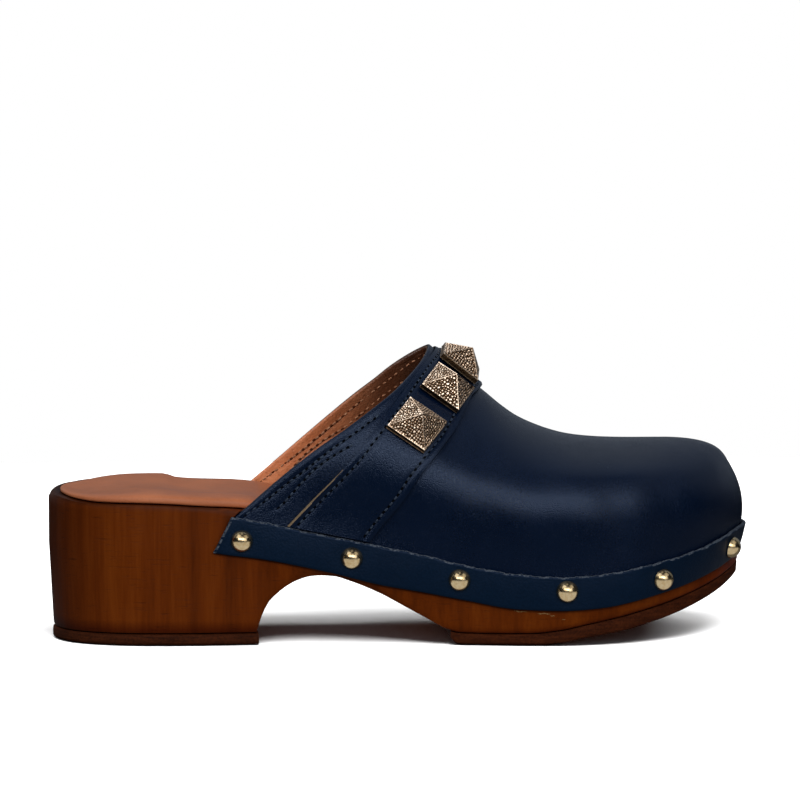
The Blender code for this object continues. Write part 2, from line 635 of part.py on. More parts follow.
add_object('wood_sole', build_wood(), WOOD, 40)
add_object('heel_lift', build_lift(), RUBBER, 40)
add_object('forefoot_outsole', build_outsole(), RED_RUBBER, 40)
add_object('insole', build_insole(), TAN, 60)
shell(add_object('upper', build_upper(), NAVY, 80), UPPER_WALL, -1)
shell(add_object('instep_strap', build_strap(), NAVY_STRAP, 80), OVERLAY, 1)
add_object('rand', build_rand(), NAVY_RAND, 50)

nail_mesh = build_nail()
counts = {-1: 0, 1: 0}
for x, side, rise in nail_places():
    counts[side] += 1
    nail = add_object('nail_%s_%d' % ('outer' if side < 0 else 'inner', counts[side]), nail_mesh.copy(), BRASS, 50)
    turn = nail.modifiers.new('turned', 'SCREW')
    turn.axis, turn.angle = 'Z', math.tau
    turn.steps = turn.render_steps = 14
    turn.use_merge_vertices, turn.merge_threshold = True, 1e-4
    z = float(col(BAND, 'top', x) + col(BAND, 'bottom', x)) / 2 + rise
    off = float(wall_off(x, z)) + GAP + OVERLAY
    p, q = edge(x, side, off), edge(x, side, off + 1)
    bend = 0.25 if x > 215 else 0.0
    tilt = float(col(LEAN, 'band', x)) / float(col(BAND, 'top', x) - col(BAND, 'bottom', x))
    n = np.array((q[0] - p[0], q[1] - p[1], -tilt))
    place(nail, np.array((*p, z)) + (GAP + bend) * n, n, (0, 0, 1))

stud_mesh = build_stud()
for i, (x, side, t, slew) in enumerate(zip(STUDS['x'], STUDS['side'], STUDS['share'], STUDS['slew']), 1):
    stud = add_object('stud_%d' % i, stud_mesh.copy(), GOLD)
    p, n = frame_at(x, side, t)
    place(stud, p + (GAP + .05 + OVERLAY + GAP + .25) * n, n, (ACROSS['x'], side * slew, ACROSS['z']))

# ------------------------------------------- metres, origin under the middle
bpy.context.view_layer.update()
graph = bpy.context.evaluated_depsgraph_get()
cloud = []
for obj in shoe.objects:
    if obj.type == 'MESH':
        done = obj.evaluated_get(graph).to_mesh()
        cloud += [obj.matrix_world @ v.co for v in done.vertices]
cloud = np.array(cloud)
low, high = cloud.min(0), cloud.max(0)
SCALE = 0.001
root.scale = (SCALE, SCALE, SCALE)
root.location = (-SCALE * (low[0] + high[0]) / 2, -SCALE * (low[1] + high[1]) / 2, -SCALE * low[2])
bpy.context.view_layer.update()
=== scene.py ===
"""Looks for a wooden-soled clog mule, right shoe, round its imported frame.

Lengths in the tables are millimetres in the shoe's own design frame: X runs
from the back of the heel to the toe, Y is negative on the outer side, Z is
height above the floor.  to_row() turns them into metres in the row frame.
"""
import math

import bmesh
import bpy
import numpy as np
from mathutils import Matrix, Vector


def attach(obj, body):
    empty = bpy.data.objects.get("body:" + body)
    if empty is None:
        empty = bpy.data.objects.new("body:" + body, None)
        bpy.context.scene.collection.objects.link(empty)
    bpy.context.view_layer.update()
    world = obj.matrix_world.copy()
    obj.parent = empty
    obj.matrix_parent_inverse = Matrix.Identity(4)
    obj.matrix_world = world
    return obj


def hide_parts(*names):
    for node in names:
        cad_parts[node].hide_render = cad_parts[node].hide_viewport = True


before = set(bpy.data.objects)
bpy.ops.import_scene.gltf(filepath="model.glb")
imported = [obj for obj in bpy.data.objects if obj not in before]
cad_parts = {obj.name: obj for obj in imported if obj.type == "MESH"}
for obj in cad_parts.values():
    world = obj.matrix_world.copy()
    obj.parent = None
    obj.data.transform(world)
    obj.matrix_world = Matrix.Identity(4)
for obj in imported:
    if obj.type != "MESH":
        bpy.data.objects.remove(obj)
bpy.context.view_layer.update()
RNG = np.random.default_rng(20)

SHIFT = np.array((-127.5, -1.5735, 0.0))   # design frame to row frame, mm
MM = 0.001


def to_row(p):
    return (np.asarray(p, float) + SHIFT) * MM


# --------------------------------------------------------------------- camera
AIM = np.array((127.1, 0.0, 84.5))
DISTANCE, AZIMUTH, ELEVATION = 1700.0, math.radians(-4.5), math.radians(5.0)
eye = AIM + DISTANCE * np.array((math.sin(AZIMUTH) * math.cos(ELEVATION),
                                 -math.cos(AZIMUTH) * math.cos(ELEVATION), math.sin(ELEVATION)))
camera = bpy.data.objects.new('camera', bpy.data.cameras.new('camera'))
bpy.context.scene.collection.objects.link(camera)
camera.location = to_row(eye)
camera.rotation_euler = Vector(to_row(AIM) - to_row(eye)).to_track_quat('-Z', 'Y').to_euler()
camera.data.lens, camera.data.sensor_width = 211.3, 36.0
camera.data.clip_start, camera.data.clip_end = 0.05, 50.0
bpy.context.scene.camera = camera

# ------------------------------------------------------------------ sizes, mm
LENGTH = 253.1          # wooden sole, heel back to toe tip
GAP = 0.3               # between pieces that touch
UPPER_WALL = 2.2        # leather with its lining
REBATE = 3.2            # depth of the seat cut for the upper in the sole
REBATE_LIP = 1.5        # height of the seat above the rand's lower edge
OVERLAY = 1.6           # strap and rand leather
RAND_BACK = 58.0        # rear end of the rand at its lower edge
RAND_SLANT = 0.52       # slope of the rand's cut end, X per Z
INSOLE_ROUND = 2.2      # padded edge
LIFT_THICK = 3.8        # heel top piece
LIFT_FRONT = 74.4
OUTSOLE_BACK = 142.0
POLE_X = 222.0          # the toe's meridians meet here on the ridge
BULGE = 1.0             # leather swells over the rand by this much
NAIL_RADIUS = 3.9
NAIL_HEIGHT = 3.0
NAIL_PITCH = 38.1
STUD_SIDE = 16.0
STUD_PLATE = 2.0
STUD_HEIGHT = 8.6

# ------------------------------------------------------------- section tables
# plan of the wooden sole: spine and half widths to the two sides
OUTLINE = dict(
    x=(0, 6, 16, 32, 50, 75, 100, 125, 150, 175, 190, 205, 220, 232, 242, 249, LENGTH),
    spine=(0, 0, 0, 0, 0, 0, 0, .5, 1.5, 3, 4, 5, 6.5, 7.5, 8.5, 9, 9),
    lat=(0, 17.5, 25.5, 30.5, 31.8, 31, 31.5, 34.5, 40.5, 46, 48, 46.5, 41.5, 34.5, 25.5, 15, 0),
    med=(0, 17.5, 25.5, 30.5, 31.8, 31, 29.5, 29, 33, 40, 43, 43.5, 40.5, 35, 27.5, 16.5, 0))
# upper and lower edge of the rand
BAND = dict(
    x=(50, 64, 75, 97, 118.5, 133, 147, 167, 181, 196, 211, 227, 239, 248, LENGTH),
    top=(47.6, 45.2, 43.6, 39.4, 35.2, 32.3, 29.0, 25.8, 24.9, 25.8, 28.1, 31.2, 34.5, 37.6, 38.8),
    bottom=(34.6, 32.3, 30.8, 26.4, 21.2, 18.8, 16.3, 13.1, 12.7, 13.6, 16.2, 19.8, 23.2, 26.0, 27.4))
# how far the sole's side leans in at the rand's lower edge and at the bottom
LEAN = dict(
    x=(0, 75, 110, 150, 200, 235, LENGTH),
    band=(0, 0, .2, .6, .8, 2.0, 3.2),
    base=(1.6, 1.6, 1.4, 2.0, 2.2, 1.8, 1.4))
# edge of the footbed on the outer side
RIM = dict(
    x=(0, 3, 10, 18, 32, 42, 56, 69, 85, 100, 125, 150, 175, 190, 205, 220, 235, 245, LENGTH),
    z=(53.4, 52.8, 51.3, 50.6, 50.5, 50.2, 49.2, 48.3, 44.9, 40.8, 34.6, 28.6, 25.3, 24.8, 26.0, 28.6, 32.2, 35.4, 37.6))
# arch support: rise of the inner edge over the outer one, and hollow of the bed
BED = dict(
    x=(0, 3, 8, 15, 30, 40, 48, 62, 80, 110, 140, 170, 195, LENGTH),
    rise=(0, 1.4, 2.9, 4.0, 4.5, 4.4, 4.3, 4.7, 5.4, 4.6, 2.4, .9, 0, 0),
    dish=(.6, 1.0, 1.4, 1.8, 2.2, 2.3, 2.3, 2.2, 1.9, 1.4, 1.4, 1.6, 1.6, .8))
# underside of the wood: heel seat, breast, arch, forefoot, toe spring
UNDER = dict(
    x=(0, 73.6, 74.3, 75.4, 76.5, 78.2, 81.1, 84, 88, 92.5, 96.1, 101, 106.7, 112.4, 118.1, 123.7,
       129.4, 135, 141, 146, 160, 172, 180, 189, 204, 219.4, 236, 249.3, LENGTH),
    z=(4.1, 4.1, 6.5, 10, 12.5, 15.4, 18.2, 20.5, 22.7, 24.1, 24.4, 24.1, 22.4, 20.2, 17.6, 14.6,
       11.4, 8.3, 5.2, 4.2, 4.1, 4.3, 5.2, 7.0, 9.9, 13.3, 18.0, 22.9, 24.8))
# walking side of the forefoot rubber
TREAD = dict(
    x=(OUTSOLE_BACK, 145, 174, 180, 189, 204, 219.4, 236, 246, LENGTH),
    z=(1.8, 0, 0, .6, 2.3, 4.6, 7.9, 12.9, 16.9, 20.4))
# edge of the insole, inside the sole's outline, and how thick it is there
SOCK = dict(
    x=(0, 8, 20, 30, 42, 47, 62, 90, LENGTH),
    lat=(4.2, 2.4, 1.3, 1.3, 1.3, 1.4, 4.2, 4.2, 4.2),
    med=(4.2, 4.6, 2.4, 1.5, 1.5, 3.6, 4.2, 4.2, 4.2),
    thick_lat=(1.4, 2.2, 3.2, 3.6, 3.7, 3.7, 3.7, 3.4, 3.2),
    thick_med=(1.4, .8, .9, 1.0, 1.4, .8, .8, 1.4, 3.2))
# ridge of the upper over the instep and along the vamp
RIDGE = dict(
    x=(55, 90, 115, 128, 138.6, 141, 145.5, 149.5, 158.6, 164.4, 170.3, 176.1, 182, 187.8, 193.7, 202.5, 214, POLE_X),
    y=(4, 6, 9, 12, 12.5, 12.5, 12.5, 12.5, 11.5, 10.6, 9.8, 9, 8.4, 8.3, 8.4, 8.6, 8.9, 9),
    z=(118, 124, 119, 111.6, 104, 101.9, 97.3, 93.9, 86.8, 81.9, 77.8, 75.1, 73, 71.5, 70.6, 69.9, 69.5, 69.4))
# shoulder of each section, where wall turns into crown: inset from the
# outline, height and slope of the surface there, and the share of the crown's
# width that stays level, on either side
SHOULDER = dict(
    x=(55, 80, 100, 115, 131, 141, 150, 160, 175, 190, 205, POLE_X),
    in_lat=(2, 2.2, 2.3, 2.4, 3.7, 4.4, 4.0, 3.2, 2.6, 2.5, 2.8, 3.2),
    z_lat=(72, 78, 80, 79.8, 74.2, 69.5, 65.2, 62.2, 59.5, 59, 59, 58),
    turn_lat=(10, 14, 22.5, 29, 38, 41, 42.5, 41.5, 41, 39, 38.3, 38.1),
    level_lat=(.4, .38, .36, .34, .29, .27, .31, .335, .355, .376, .39, .4),
    in_med=(2, 2.5, 2.8, 3, 3.2, 3.4, 3.6, 3.6, 3.5, 3.5, 3.5, 4),
    z_med=(72, 78, 82, 83, 79, 75, 69, 62.5, 55, 52.5, 53, 55),
    turn_med=(8, 11, 15, 19, 24, 26, 28, 31, 35, 38, 38, 38),
    level_med=(.4, .4, .4, .4, .4, .4, .4, .4, .4, .4, .4, .4))
TOE_SHOULDER = dict(inset=6.5, z=63.2, turn=33)   # the same at the toe tip
WALL_PULL = 0.42        # share of the wall's height that stays upright
TOE_LEVEL = .58         # share of the crown's width that stays level at the toe tip
CROWN_REACH = dict(side=.62, toe=.76)   # how far the crown keeps the shoulder's slope
# top line of the open back, seen from the side
COLLAR = dict(
    z=(20, 33, 44.7, 50, 60, 70, 77, 85, 90.5, 96, 100, 104.2),
    lat=(58.5, 61.8, 65.0, 70.9, 82.3, 94.8, 105, 116.2, 124.1, 130.6, 135, 138.8),
    med=(58.5, 61.8, 65.0, 71.4, 83.2, 94.6, 102.6, 112, 119, 125.6, 131.5, 138.8))
# the strap's two edges, seen from the side
STRAP = dict(
    z=(30, 41.5, 52.6, 63.2, 68.2, 74, 80, 86, 90, 95, 98, 101.7, 103, 106),
    back=(73, 83.5, 94, 104.5, 109, 113.6, 118.4, 123.4, 127, 131.6, 134.8, 139.6, 141.2, 144))
STRAP_FRONT = dict(
    z=(30, 36.5, 43.6, 53, 60.9, 67, 75.1, 80, 83, 85.8, 87.2, 88.2, 90),
    x=(109, 113.5, 118.8, 126.2, 131.5, 136.8, 144.2, 147.6, 149.6, 151.8, 154.3, 157.0, 161))
# nails on the outer side: place, and height above the middle of the rand
NAILS = dict(x=(68.1, 107.4, 145.5, 183.2, 217.8, 246.3), rise=(-.7, .5, .7, 1, -.6, -.2))
# studs: section, side, share of the way from the rand up to the ridge, and
# how far the square is slewed outwards on its way across the strap
STUDS = dict(
    x=(129.9, 141.5, 147.1, 143.5, 129.5),
    side=(-1, -1, -1, 1, 1),
    share=(.513, .684, .907, .70, .46),
    slew=(.20, .144, 0, .144, .20))
ACROSS = dict(x=.81, z=-.57)    # across the strap, from its back to its front edge


# ------------------------------------------------------------------ functions
def hermite(xs, ys, x):
    """Smooth monotone curve through a table's rows."""
    xs, ys = np.asarray(xs, float), np.asarray(ys, float)
    x = np.clip(np.asarray(x, float), xs[0], xs[-1])
    h, d = np.diff(xs), np.diff(ys) / np.diff(xs)
    m = np.zeros_like(xs)
    for i in range(1, len(xs) - 1):
        if d[i - 1] * d[i] > 0:
            w1, w2 = 2 * h[i] + h[i - 1], h[i] + 2 * h[i - 1]
            m[i] = (w1 + w2) / (w1 / d[i - 1] + w2 / d[i])
    m[0], m[-1] = d[0], d[-1]
    k = np.clip(np.searchsorted(xs, x, side='right') - 1, 0, len(h) - 1)
    t = (x - xs[k]) / h[k]
    return ((2 * t**3 - 3 * t**2 + 1) * ys[k] + (t**3 - 2 * t**2 + t) * h[k] * m[k]
            + (3 * t**2 - 2 * t**3) * ys[k + 1] + (t**3 - t**2) * h[k] * m[k + 1])


def col(table, name, at, key='x'):
    return hermite(table[key], table[name], at)


TURN = np.linspace(0, math.pi, 1201)
TURN_X = LENGTH * (1 - np.cos(TURN)) / 2


def half_outline(name, side):
    half = np.sqrt(np.maximum(hermite(OUTLINE['x'], np.array(OUTLINE[name])**2, TURN_X), 0))
    y = col(OUTLINE, 'spine', TURN_X) + side * half
    n = np.stack([-side * np.gradient(y, TURN), side * np.gradient(TURN_X, TURN)], 1)
    n[0], n[-1] = (-1, 0), (1, 0)
    return y, n / np.linalg.norm(n, axis=1)[:, None]


EDGES = {-1: half_outline('lat', -1), 1: half_outline('med', 1)}


def edge(x, side, off=0.0):
    """Point of the sole's outline at x, moved outwards by off."""
    a = np.arccos(np.clip(1 - 2 * np.asarray(x, float) / LENGTH, -1, 1))
    y, n = EDGES[side]
    nx, ny = np.interp(a, TURN, n[:, 0]), np.interp(a, TURN, n[:, 1])
    ln = np.hypot(nx, ny)
    return x + off * nx / ln, np.interp(a, TURN, y) + off * ny / ln


def stations(x0, x1, count):
    """Stations that crowd together towards the round ends of the outline."""
    a0, a1 = (math.acos(1 - 2 * min(max(v / LENGTH, 0), 1)) for v in (x0, x1))
    return LENGTH * (1 - np.cos(np.linspace(a0, a1, count))) / 2


def wall_off(x, z):
    """Lean of the sole's side at a height, as an offset from the outline."""
    x, z = np.asarray(x, float), np.asarray(z, float)
    zt = np.where(x > 64, col(BAND, 'top', x), col(RIM, 'z', x))
    zb, zu = col(BAND, 'bottom', x), col(UNDER, 'z', x)
    lb, lu = col(LEAN, 'band', x), col(LEAN, 'base', x)
    upper = -lb * np.clip((zt - z) / (zt - zb), 0, 1)
    lower = -(lu - lb) * np.clip((zb - z) / np.maximum(zb - zu, 1e-6), 0, 1)
    return upper + lower


def rim_z(x, side):
    return col(RIM, 'z', x) + (col(BED, 'rise', x) if side > 0 else 0)


def bed_z(x, y):
    """Top of the wood under the insole."""
    _, yl = edge(x, -1)
    _, ym = edge(x, 1)
    v = np.clip((y - yl) / np.maximum(ym - yl, 1e-3), 0, 1)
    return rim_z(x, -1) * (1 - v) + rim_z(x, 1) * v - col(BED, 'dish', x) * 4 * v * (1 - v)


def bezier(a, b, c, d, t):
    s = 1 - t
    return s**3 * a + 3 * s * s * t * b + 3 * s * t * t * c + t**3 * d


def profile(width, z0, z1, inset, zs, turn, level, t, toe=0.0):
    """Wall and crown of one meridian: inset and height for t from 0 to 1."""
    t = np.clip(t, 0, 1)
    level = level + toe * (TOE_LEVEL - level)
    keep = CROWN_REACH['side'] + toe * (CROWN_REACH['toe'] - CROWN_REACH['side'])
    r = np.radians(turn)
    pull = WALL_PULL * (zs - z0)
    lo = np.clip(2 * t, 0, 1)
    u_lo = bezier(0, 0, inset - pull * np.sin(r), inset, lo)
    z_lo = bezier(z0, z0 + pull, zs - pull * np.cos(r), zs, lo)
    rise = z1 - zs
    reach = keep * rise / np.cos(r)
    hi = np.clip(2 * t - 1, 0, 1)
    u_hi = bezier(inset, inset + reach * np.sin(r), width - level * (width - inset), width, hi)
    z_hi = bezier(zs, zs + reach * np.cos(r), z1, z1, hi)
    swell = (1 - (1 - lo)**6) * (1 - t)**2
    return np.where(t < 0.5, u_lo, u_hi), np.where(t < 0.5, z_lo, z_hi), swell


def feather(x):
    return col(BAND, 'top', x) + 0.3


def section(x, side, t):
    """Outer surface of the upper in the plane x; t runs from rand to ridge."""
    x, t = np.asarray(x, float), np.asarray(t, float)
    s = 'lat' if side < 0 else 'med'
    _, y0 = edge(x, side)
    yr, zr = col(RIDGE, 'y', x), col(RIDGE, 'z', x)
    u, z, swell = profile(np.abs(yr - y0), feather(x), zr, col(SHOULDER, 'in_' + s, x),
                          col(SHOULDER, 'z_' + s, x), col(SHOULDER, 'turn_' + s, x), col(SHOULDER, 'level_' + s, x), t)
    out = BULGE * np.clip((x - 100) / 50, 0, 1) * swell
    return np.stack(np.broadcast_arrays(x, y0 - side * (u - out), z), -1)


def fan(x, side, t):
    """Outer surface round the toe, from the outline point at x to the pole."""
    x, t = np.asarray(x, float), np.asarray(t, float)
    s = 'lat' if side < 0 else 'med'
    x0, y0 = edge(x, side)
    yr, zr = col(RIDGE, 'y', POLE_X), col(RIDGE, 'z', POLE_X)
    rx, ry = POLE_X - x0, yr - y0
    width = np.hypot(rx, ry)
    k = np.arctan2(-rx, np.abs(ry)) / (math.pi / 2)
    k = k * k * (3 - 2 * k)
    inset = (1 - k) * col(SHOULDER, 'in_' + s, POLE_X) + k * TOE_SHOULDER['inset']
    zs = (1 - k) * col(SHOULDER, 'z_' + s, POLE_X) + k * TOE_SHOULDER['z']
    turn = (1 - k) * col(SHOULDER, 'turn_' + s, POLE_X) + k * TOE_SHOULDER['turn']
    level = col(SHOULDER, 'level_' + s, POLE_X)
    u, z, swell = profile(width, feather(x), zr, inset, zs, turn, level, t, k)
    u = u - BULGE * swell
    return np.stack(np.broadcast_arrays(x0 + rx * u / width, y0 + ry * u / width, z), -1)


def between(back, front, share, side, t):
    """Point of a section at a share of the way between two slanted lines."""
    share, t = np.broadcast_arrays(np.asarray(share, float), np.asarray(t, float))
    lo, hi = np.full(t.shape, 55.0), np.full(t.shape, POLE_X)
    for _ in range(44):
        mid = (lo + hi) / 2
        z = section(mid, side, t)[..., 2]
        b, f = back(z), front(z)
        ahead = mid < b + share * (f - b)
        lo, hi = np.where(ahead, mid, lo), np.where(ahead, hi, mid)
    return section((lo + hi) / 2, side, t)


def collar_x(side):
    return lambda z: col(COLLAR, 'lat' if side < 0 else 'med', z, 'z')


def strap_back(z):
    return col(STRAP, 'back', z, 'z')


def strap_front(z):
    return col(STRAP_FRONT, 'x', z, 'z')


def pole_plane(z):
    return np.full(np.shape(z), POLE_X)


def outward(points):
    """Unit normals of a grid of points that runs rand - ridge - rand."""
    n = np.cross(np.gradient(points, axis=0), np.gradient(points, axis=1))
    n /= np.linalg.norm(n, axis=-1)[..., None]
    return n if n[..., 2].sum() > 0 else -n


def frame_at(x, side, t, step=0.4):
    """Point and outward normal on the upper."""
    p = section(x, side, t)
    along = section(x + step, side, t) - section(x - step, side, t)
    up = section(x, side, min(t + .01, 1)) - section(x, side, t - .01)
    n = np.cross(along, up)
    n /= np.linalg.norm(n)
    if n[2] < 0 or n[1] * side < -0.5:
        n = -n
    return p, n



# ------------------------------------------------------------- lines and rows
# rows of stitches on the quarter, ahead of the top line, seen from the side
ROW_A = dict(z=(44, 45.5, 56, 66.4, 75, 83), ahead=(2.6, 2.8, 4.6, 5.6, 5.6, 5.4))
ROW_B = dict(z=(48, 49.8, 56, 62.7, 67, 72.4), ahead=(10.6, 11.4, 10.2, 8.6, 9.0, 11.2))
STRAP_SEAM = dict(back=3.2, front=3.4)   # stitches inside the strap's edges, along X
STITCH = dict(pitch=2.75, length=1.95, radius=0.34)
# soft troughs (minus) and swells (plus) of the vamp's outer side: two ends, height, width
FOLDS = (
    dict(a=(171, 66), b=(181, 32), high=-.30, wide=6.5),
    dict(a=(187, 62), b=(193, 40), high=.30, wide=5.5),
    dict(a=(197, 60), b=(203, 36), high=-.32, wide=5.0),
    dict(a=(208, 60), b=(214, 42), high=.26, wide=5.5),
    dict(a=(150, 66), b=(136, 38), high=-.22, wide=5.0),
    dict(a=(159, 60), b=(166, 34), high=.18, wide=6.0),
)


def top_line(side):
    return collar_x(side)


def row_line(row, side):
    line = top_line(side)
    return lambda z: line(z) + col(row, 'ahead', z, 'z')


def shifted(line, dx):
    return lambda z: line(z) + dx


def normals_at(x, side, t, step=0.4):
    """Outward unit normals of the upper at arrays of places."""
    x, t = np.broadcast_arrays(np.asarray(x, float), np.asarray(t, float))
    along = section(x + step, side, t) - section(x - step, side, t)
    up = section(x, side, np.minimum(t + .01, 1)) - section(x, side, np.maximum(t - .01, 0))
    n = np.cross(along, up) * (1 if side < 0 else -1)
    n /= np.linalg.norm(n, axis=-1)[..., None]
    return n if (n[..., 2].mean() > 0 or n[..., 1].mean() * side > 0) else -n


def girth(line, side, t):
    """Points and normals where a slanted line crosses the upper's girths."""
    p = between(line, line, 0.0, side, t)
    return p, normals_at(p[..., 0], side, t)


def waves(p, scale, seed, count=7):
    """Smooth made-up unevenness, about -1 to 1."""
    r = np.random.default_rng(seed)
    total = np.zeros(p.shape[:-1])
    for _ in range(count):
        k = r.normal(size=3)
        k *= r.uniform(.5, 1.4) / (np.linalg.norm(k) * scale)
        total += np.sin(2 * math.pi * (p @ k) + r.uniform(0, 6.28))
    return total / math.sqrt(count)


# ------------------------------------------------------------------ materials
class Net:
    """A material's nodes, with places in millimetres."""

    def __init__(self, name):
        self.mat = bpy.data.materials.new(name)
        self.mat.use_nodes = True
        self.tree = self.mat.node_tree
        self.bsdf = self.tree.nodes['Principled BSDF']
        self.where = self.tree.nodes.new('ShaderNodeTexCoord').outputs['Object']

    def put(self, socket, value):
        if isinstance(value, bpy.types.NodeSocket):
            self.tree.links.new(value, socket)
        else:
            socket.default_value = value

    def node(self, kind, inputs, **props):
        n = self.tree.nodes.new(kind)
        for k, v in props.items():
            setattr(n, k, v)
        for k, v in inputs.items():
            self.put(n.inputs[k], v)
        return n

    def mm(self, x=1.0, y=1.0, z=1.0, turn=(0, 0, 0)):
        return self.node('ShaderNodeMapping', {'Vector': self.where, 'Rotation': turn,
                                               'Scale': (1000 * x, 1000 * y, 1000 * z)}).outputs['Vector']

    def noise(self, vec, scale, detail=2.0, rough=0.5, twist=0.0):
        return self.node('ShaderNodeTexNoise', {'Vector': vec, 'Scale': scale, 'Detail': detail,
                                                'Roughness': rough, 'Distortion': twist}).outputs['Fac']

    def cells(self, vec, scale, feature='F1'):
        return self.node('ShaderNodeTexVoronoi', {'Vector': vec, 'Scale': scale}, feature=feature).outputs['Distance']

    def span(self, value, lo, hi, out_lo=0.0, out_hi=1.0):
        return self.node('ShaderNodeMapRange', {'Value': value, 'From Min': lo, 'From Max': hi,
                                                'To Min': out_lo, 'To Max': out_hi}).outputs['Result']

    def sum(self, a, b, op='ADD'):
        n = self.tree.nodes.new('ShaderNodeMath')
        n.operation = op
        self.put(n.inputs[0], a)
        self.put(n.inputs[1], b)
        return n.outputs[0]

    def mix(self, share, a, b, blend='MIX'):
        n = self.tree.nodes.new('ShaderNodeMix')
        n.data_type, n.blend_type = 'RGBA', blend
        for i, v in ((0, share), (6, a), (7, b)):
            self.put(n.inputs[i], (*v, 1.0) if isinstance(v, tuple) and len(v) == 3 else v)
        return n.outputs[2]

    def ramp(self, value, stops):
        n = self.tree.nodes.new('ShaderNodeValToRGB')
        e = n.color_ramp.elements
        while len(e) < len(stops):
            e.new(0.5)
        for item, (pos, colour) in zip(e, stops):
            item.position, item.color = pos, (*colour, 1.0)
        self.put(n.inputs['Fac'], value)
        return n.outputs['Color']

    def attribute(self, name, part='Color'):
        return self.node('ShaderNodeAttribute', {}, attribute_name=name).outputs[part]

    def bump(self, height, distance_mm, strength=1.0, under=None):
        inputs = {'Height': height, 'Strength': strength, 'Distance': distance_mm * MM}
        if under is not None:
            inputs['Normal'] = under
        return self.node('ShaderNodeBump', inputs).outputs['Normal']

    def finish(self, **sockets):
        for name, value in sockets.items():
            key = {'colour': 'Base Color', 'rough': 'Roughness', 'metal': 'Metallic', 'normal': 'Normal',
                   'spec': 'Specular IOR Level', 'coat': 'Coat Weight', 'coat_rough': 'Coat Roughness',
                   'sheen': 'Sheen Weight', 'sheen_rough': 'Sheen Roughness', 'sheen_tint': 'Sheen Tint',
                   'tint': 'Specular Tint', 'soft': 'Diffuse Roughness'}[name]
            if isinstance(value, tuple) and len(value) == 3:
                value = (*value, 1.0)
            self.put(self.bsdf.inputs[key], value)
        return self.mat


def grained_leather(name, deep, light, rough, pebble=.42, depth=.11, spec=.5, tint=(.52, .67, 1.0)):
    """Smooth dyed leather with a fine pebbled grain."""
    n = Net(name)
    place = n.mm()
    cloud = n.noise(place, .035, 3.0, .55)
    pebbles = n.cells(place, 1 / pebble)
    fine = n.noise(place, 3.4, 3.0, .6)
    height = n.sum(n.sum(pebbles, -.75, 'MULTIPLY'), n.sum(fine, .55, 'MULTIPLY'))
    colour = n.mix(n.span(cloud, .36, .66), deep, light)
    colour = n.mix(n.span(pebbles, .35, .75, 0, .35), colour, tuple(c * .55 for c in deep))
    roughness = n.span(n.sum(n.noise(place, .16, 3.0), n.sum(fine, .35, 'MULTIPLY')), .35, .95, rough - .05, rough + .07)
    return n.finish(colour=colour, rough=roughness, normal=n.bump(height, depth), spec=spec, tint=tint)


def tan_leather(name, deep, light, rough, spec=.4, depth=.07, mottled_with_painted_shade=False):
    n = Net(name)
    place = n.mm()
    cloud = n.noise(place, .05, 4.0, .6)
    fine = n.noise(place, .85 if mottled_with_painted_shade else 2.2, 4.0, .65)
    pores = n.cells(place, 1.35)
    colour = n.mix(n.span(cloud, .32, .68), deep, light)
    colour = n.mix(n.span(fine, .5, .75, 0, .6 if mottled_with_painted_shade else .35), colour, tuple(c * .5 for c in deep))
    # the lining's colour is multiplied by painted shade, a point attribute that darkens it deep inside the shoe
    if mottled_with_painted_shade:
        colour = n.mix(1.0, colour, n.attribute('painted_shade_and_tone'), 'MULTIPLY')
    height = n.sum(fine, n.sum(pores, .5, 'MULTIPLY'))
    return n.finish(colour=colour, rough=n.span(cloud, .3, .7, rough - .06, rough + .06),
                    normal=n.bump(height, depth), spec=spec)


def raw_edge(name, pale, dark, rough=.85):
    """Cut leather edge: short fibres, light and dark."""
    n = Net(name)
    fibre = n.noise(n.mm(), 1.9, 4.0, .7)
    colour = n.mix(n.span(fibre, .38, .62), dark, pale)
    return n.finish(colour=colour, rough=rough, normal=n.bump(fibre, .16), spec=.2)


def stained_wood():
    n = Net('stained_wood_grain')
    streak = n.noise(n.mm(.15, .15, .011), 1.0, 4.0, .6, .25)
    broad = n.noise(n.mm(.045, .045, .004), 1.0, 2.0, .5)
    hair = n.noise(n.mm(1.1, 1.1, .035), 1.0, 3.0, .6)
    pores = n.noise(n.mm(.12, .12, 1.7), 1.0, 3.0, .65)
    level = n.sum(n.sum(streak, .55, 'MULTIPLY'), n.sum(n.sum(broad, .35, 'MULTIPLY'), n.sum(hair, .22, 'MULTIPLY')))
    colour = n.ramp(n.span(level, .36, .76), ((0.0, WOOD_DARK), (.5, WOOD_MID), (1.0, WOOD_LIGHT)))
    marks = n.span(pores, .60, .72, 0, .42)
    colour = n.mix(marks, colour, tuple(c * .38 for c in WOOD_DARK))
    specks = n.span(n.noise(n.mm(), .75, 3.0, .7), .66, .74, 0, .55)
    colour = n.mix(n.sum(specks, n.attribute('wear', 'Fac'), 'MULTIPLY'), colour, (.008, .004, .003))
    # the point tone carries painted shade at the heel's back as well as darker marks
    colour = n.mix(1.0, colour, n.attribute('painted_shade_and_tone'), 'MULTIPLY')
    height = n.sum(n.sum(hair, .5, 'MULTIPLY'), n.sum(n.span(pores, .58, .72), -.5, 'MULTIPLY'))
    return n.finish(colour=colour, rough=n.span(hair, .3, .7, .38, .52), normal=n.bump(height, .07), spec=.09)


def rubber(name, deep, light):
    n = Net(name)
    place = n.mm()
    grit = n.noise(place, 1.3, 4.0, .65)
    band = n.noise(n.mm(.10, .10, .9), 1.0, 3.0, .6)
    colour = n.mix(n.span(n.sum(n.sum(grit, .5, 'MULTIPLY'), n.sum(band, .5, 'MULTIPLY')), .4, .62), deep, light)
    return n.finish(colour=colour, rough=n.span(grit, .3, .7, .58, .78), normal=n.bump(grit, .14), spec=.06)


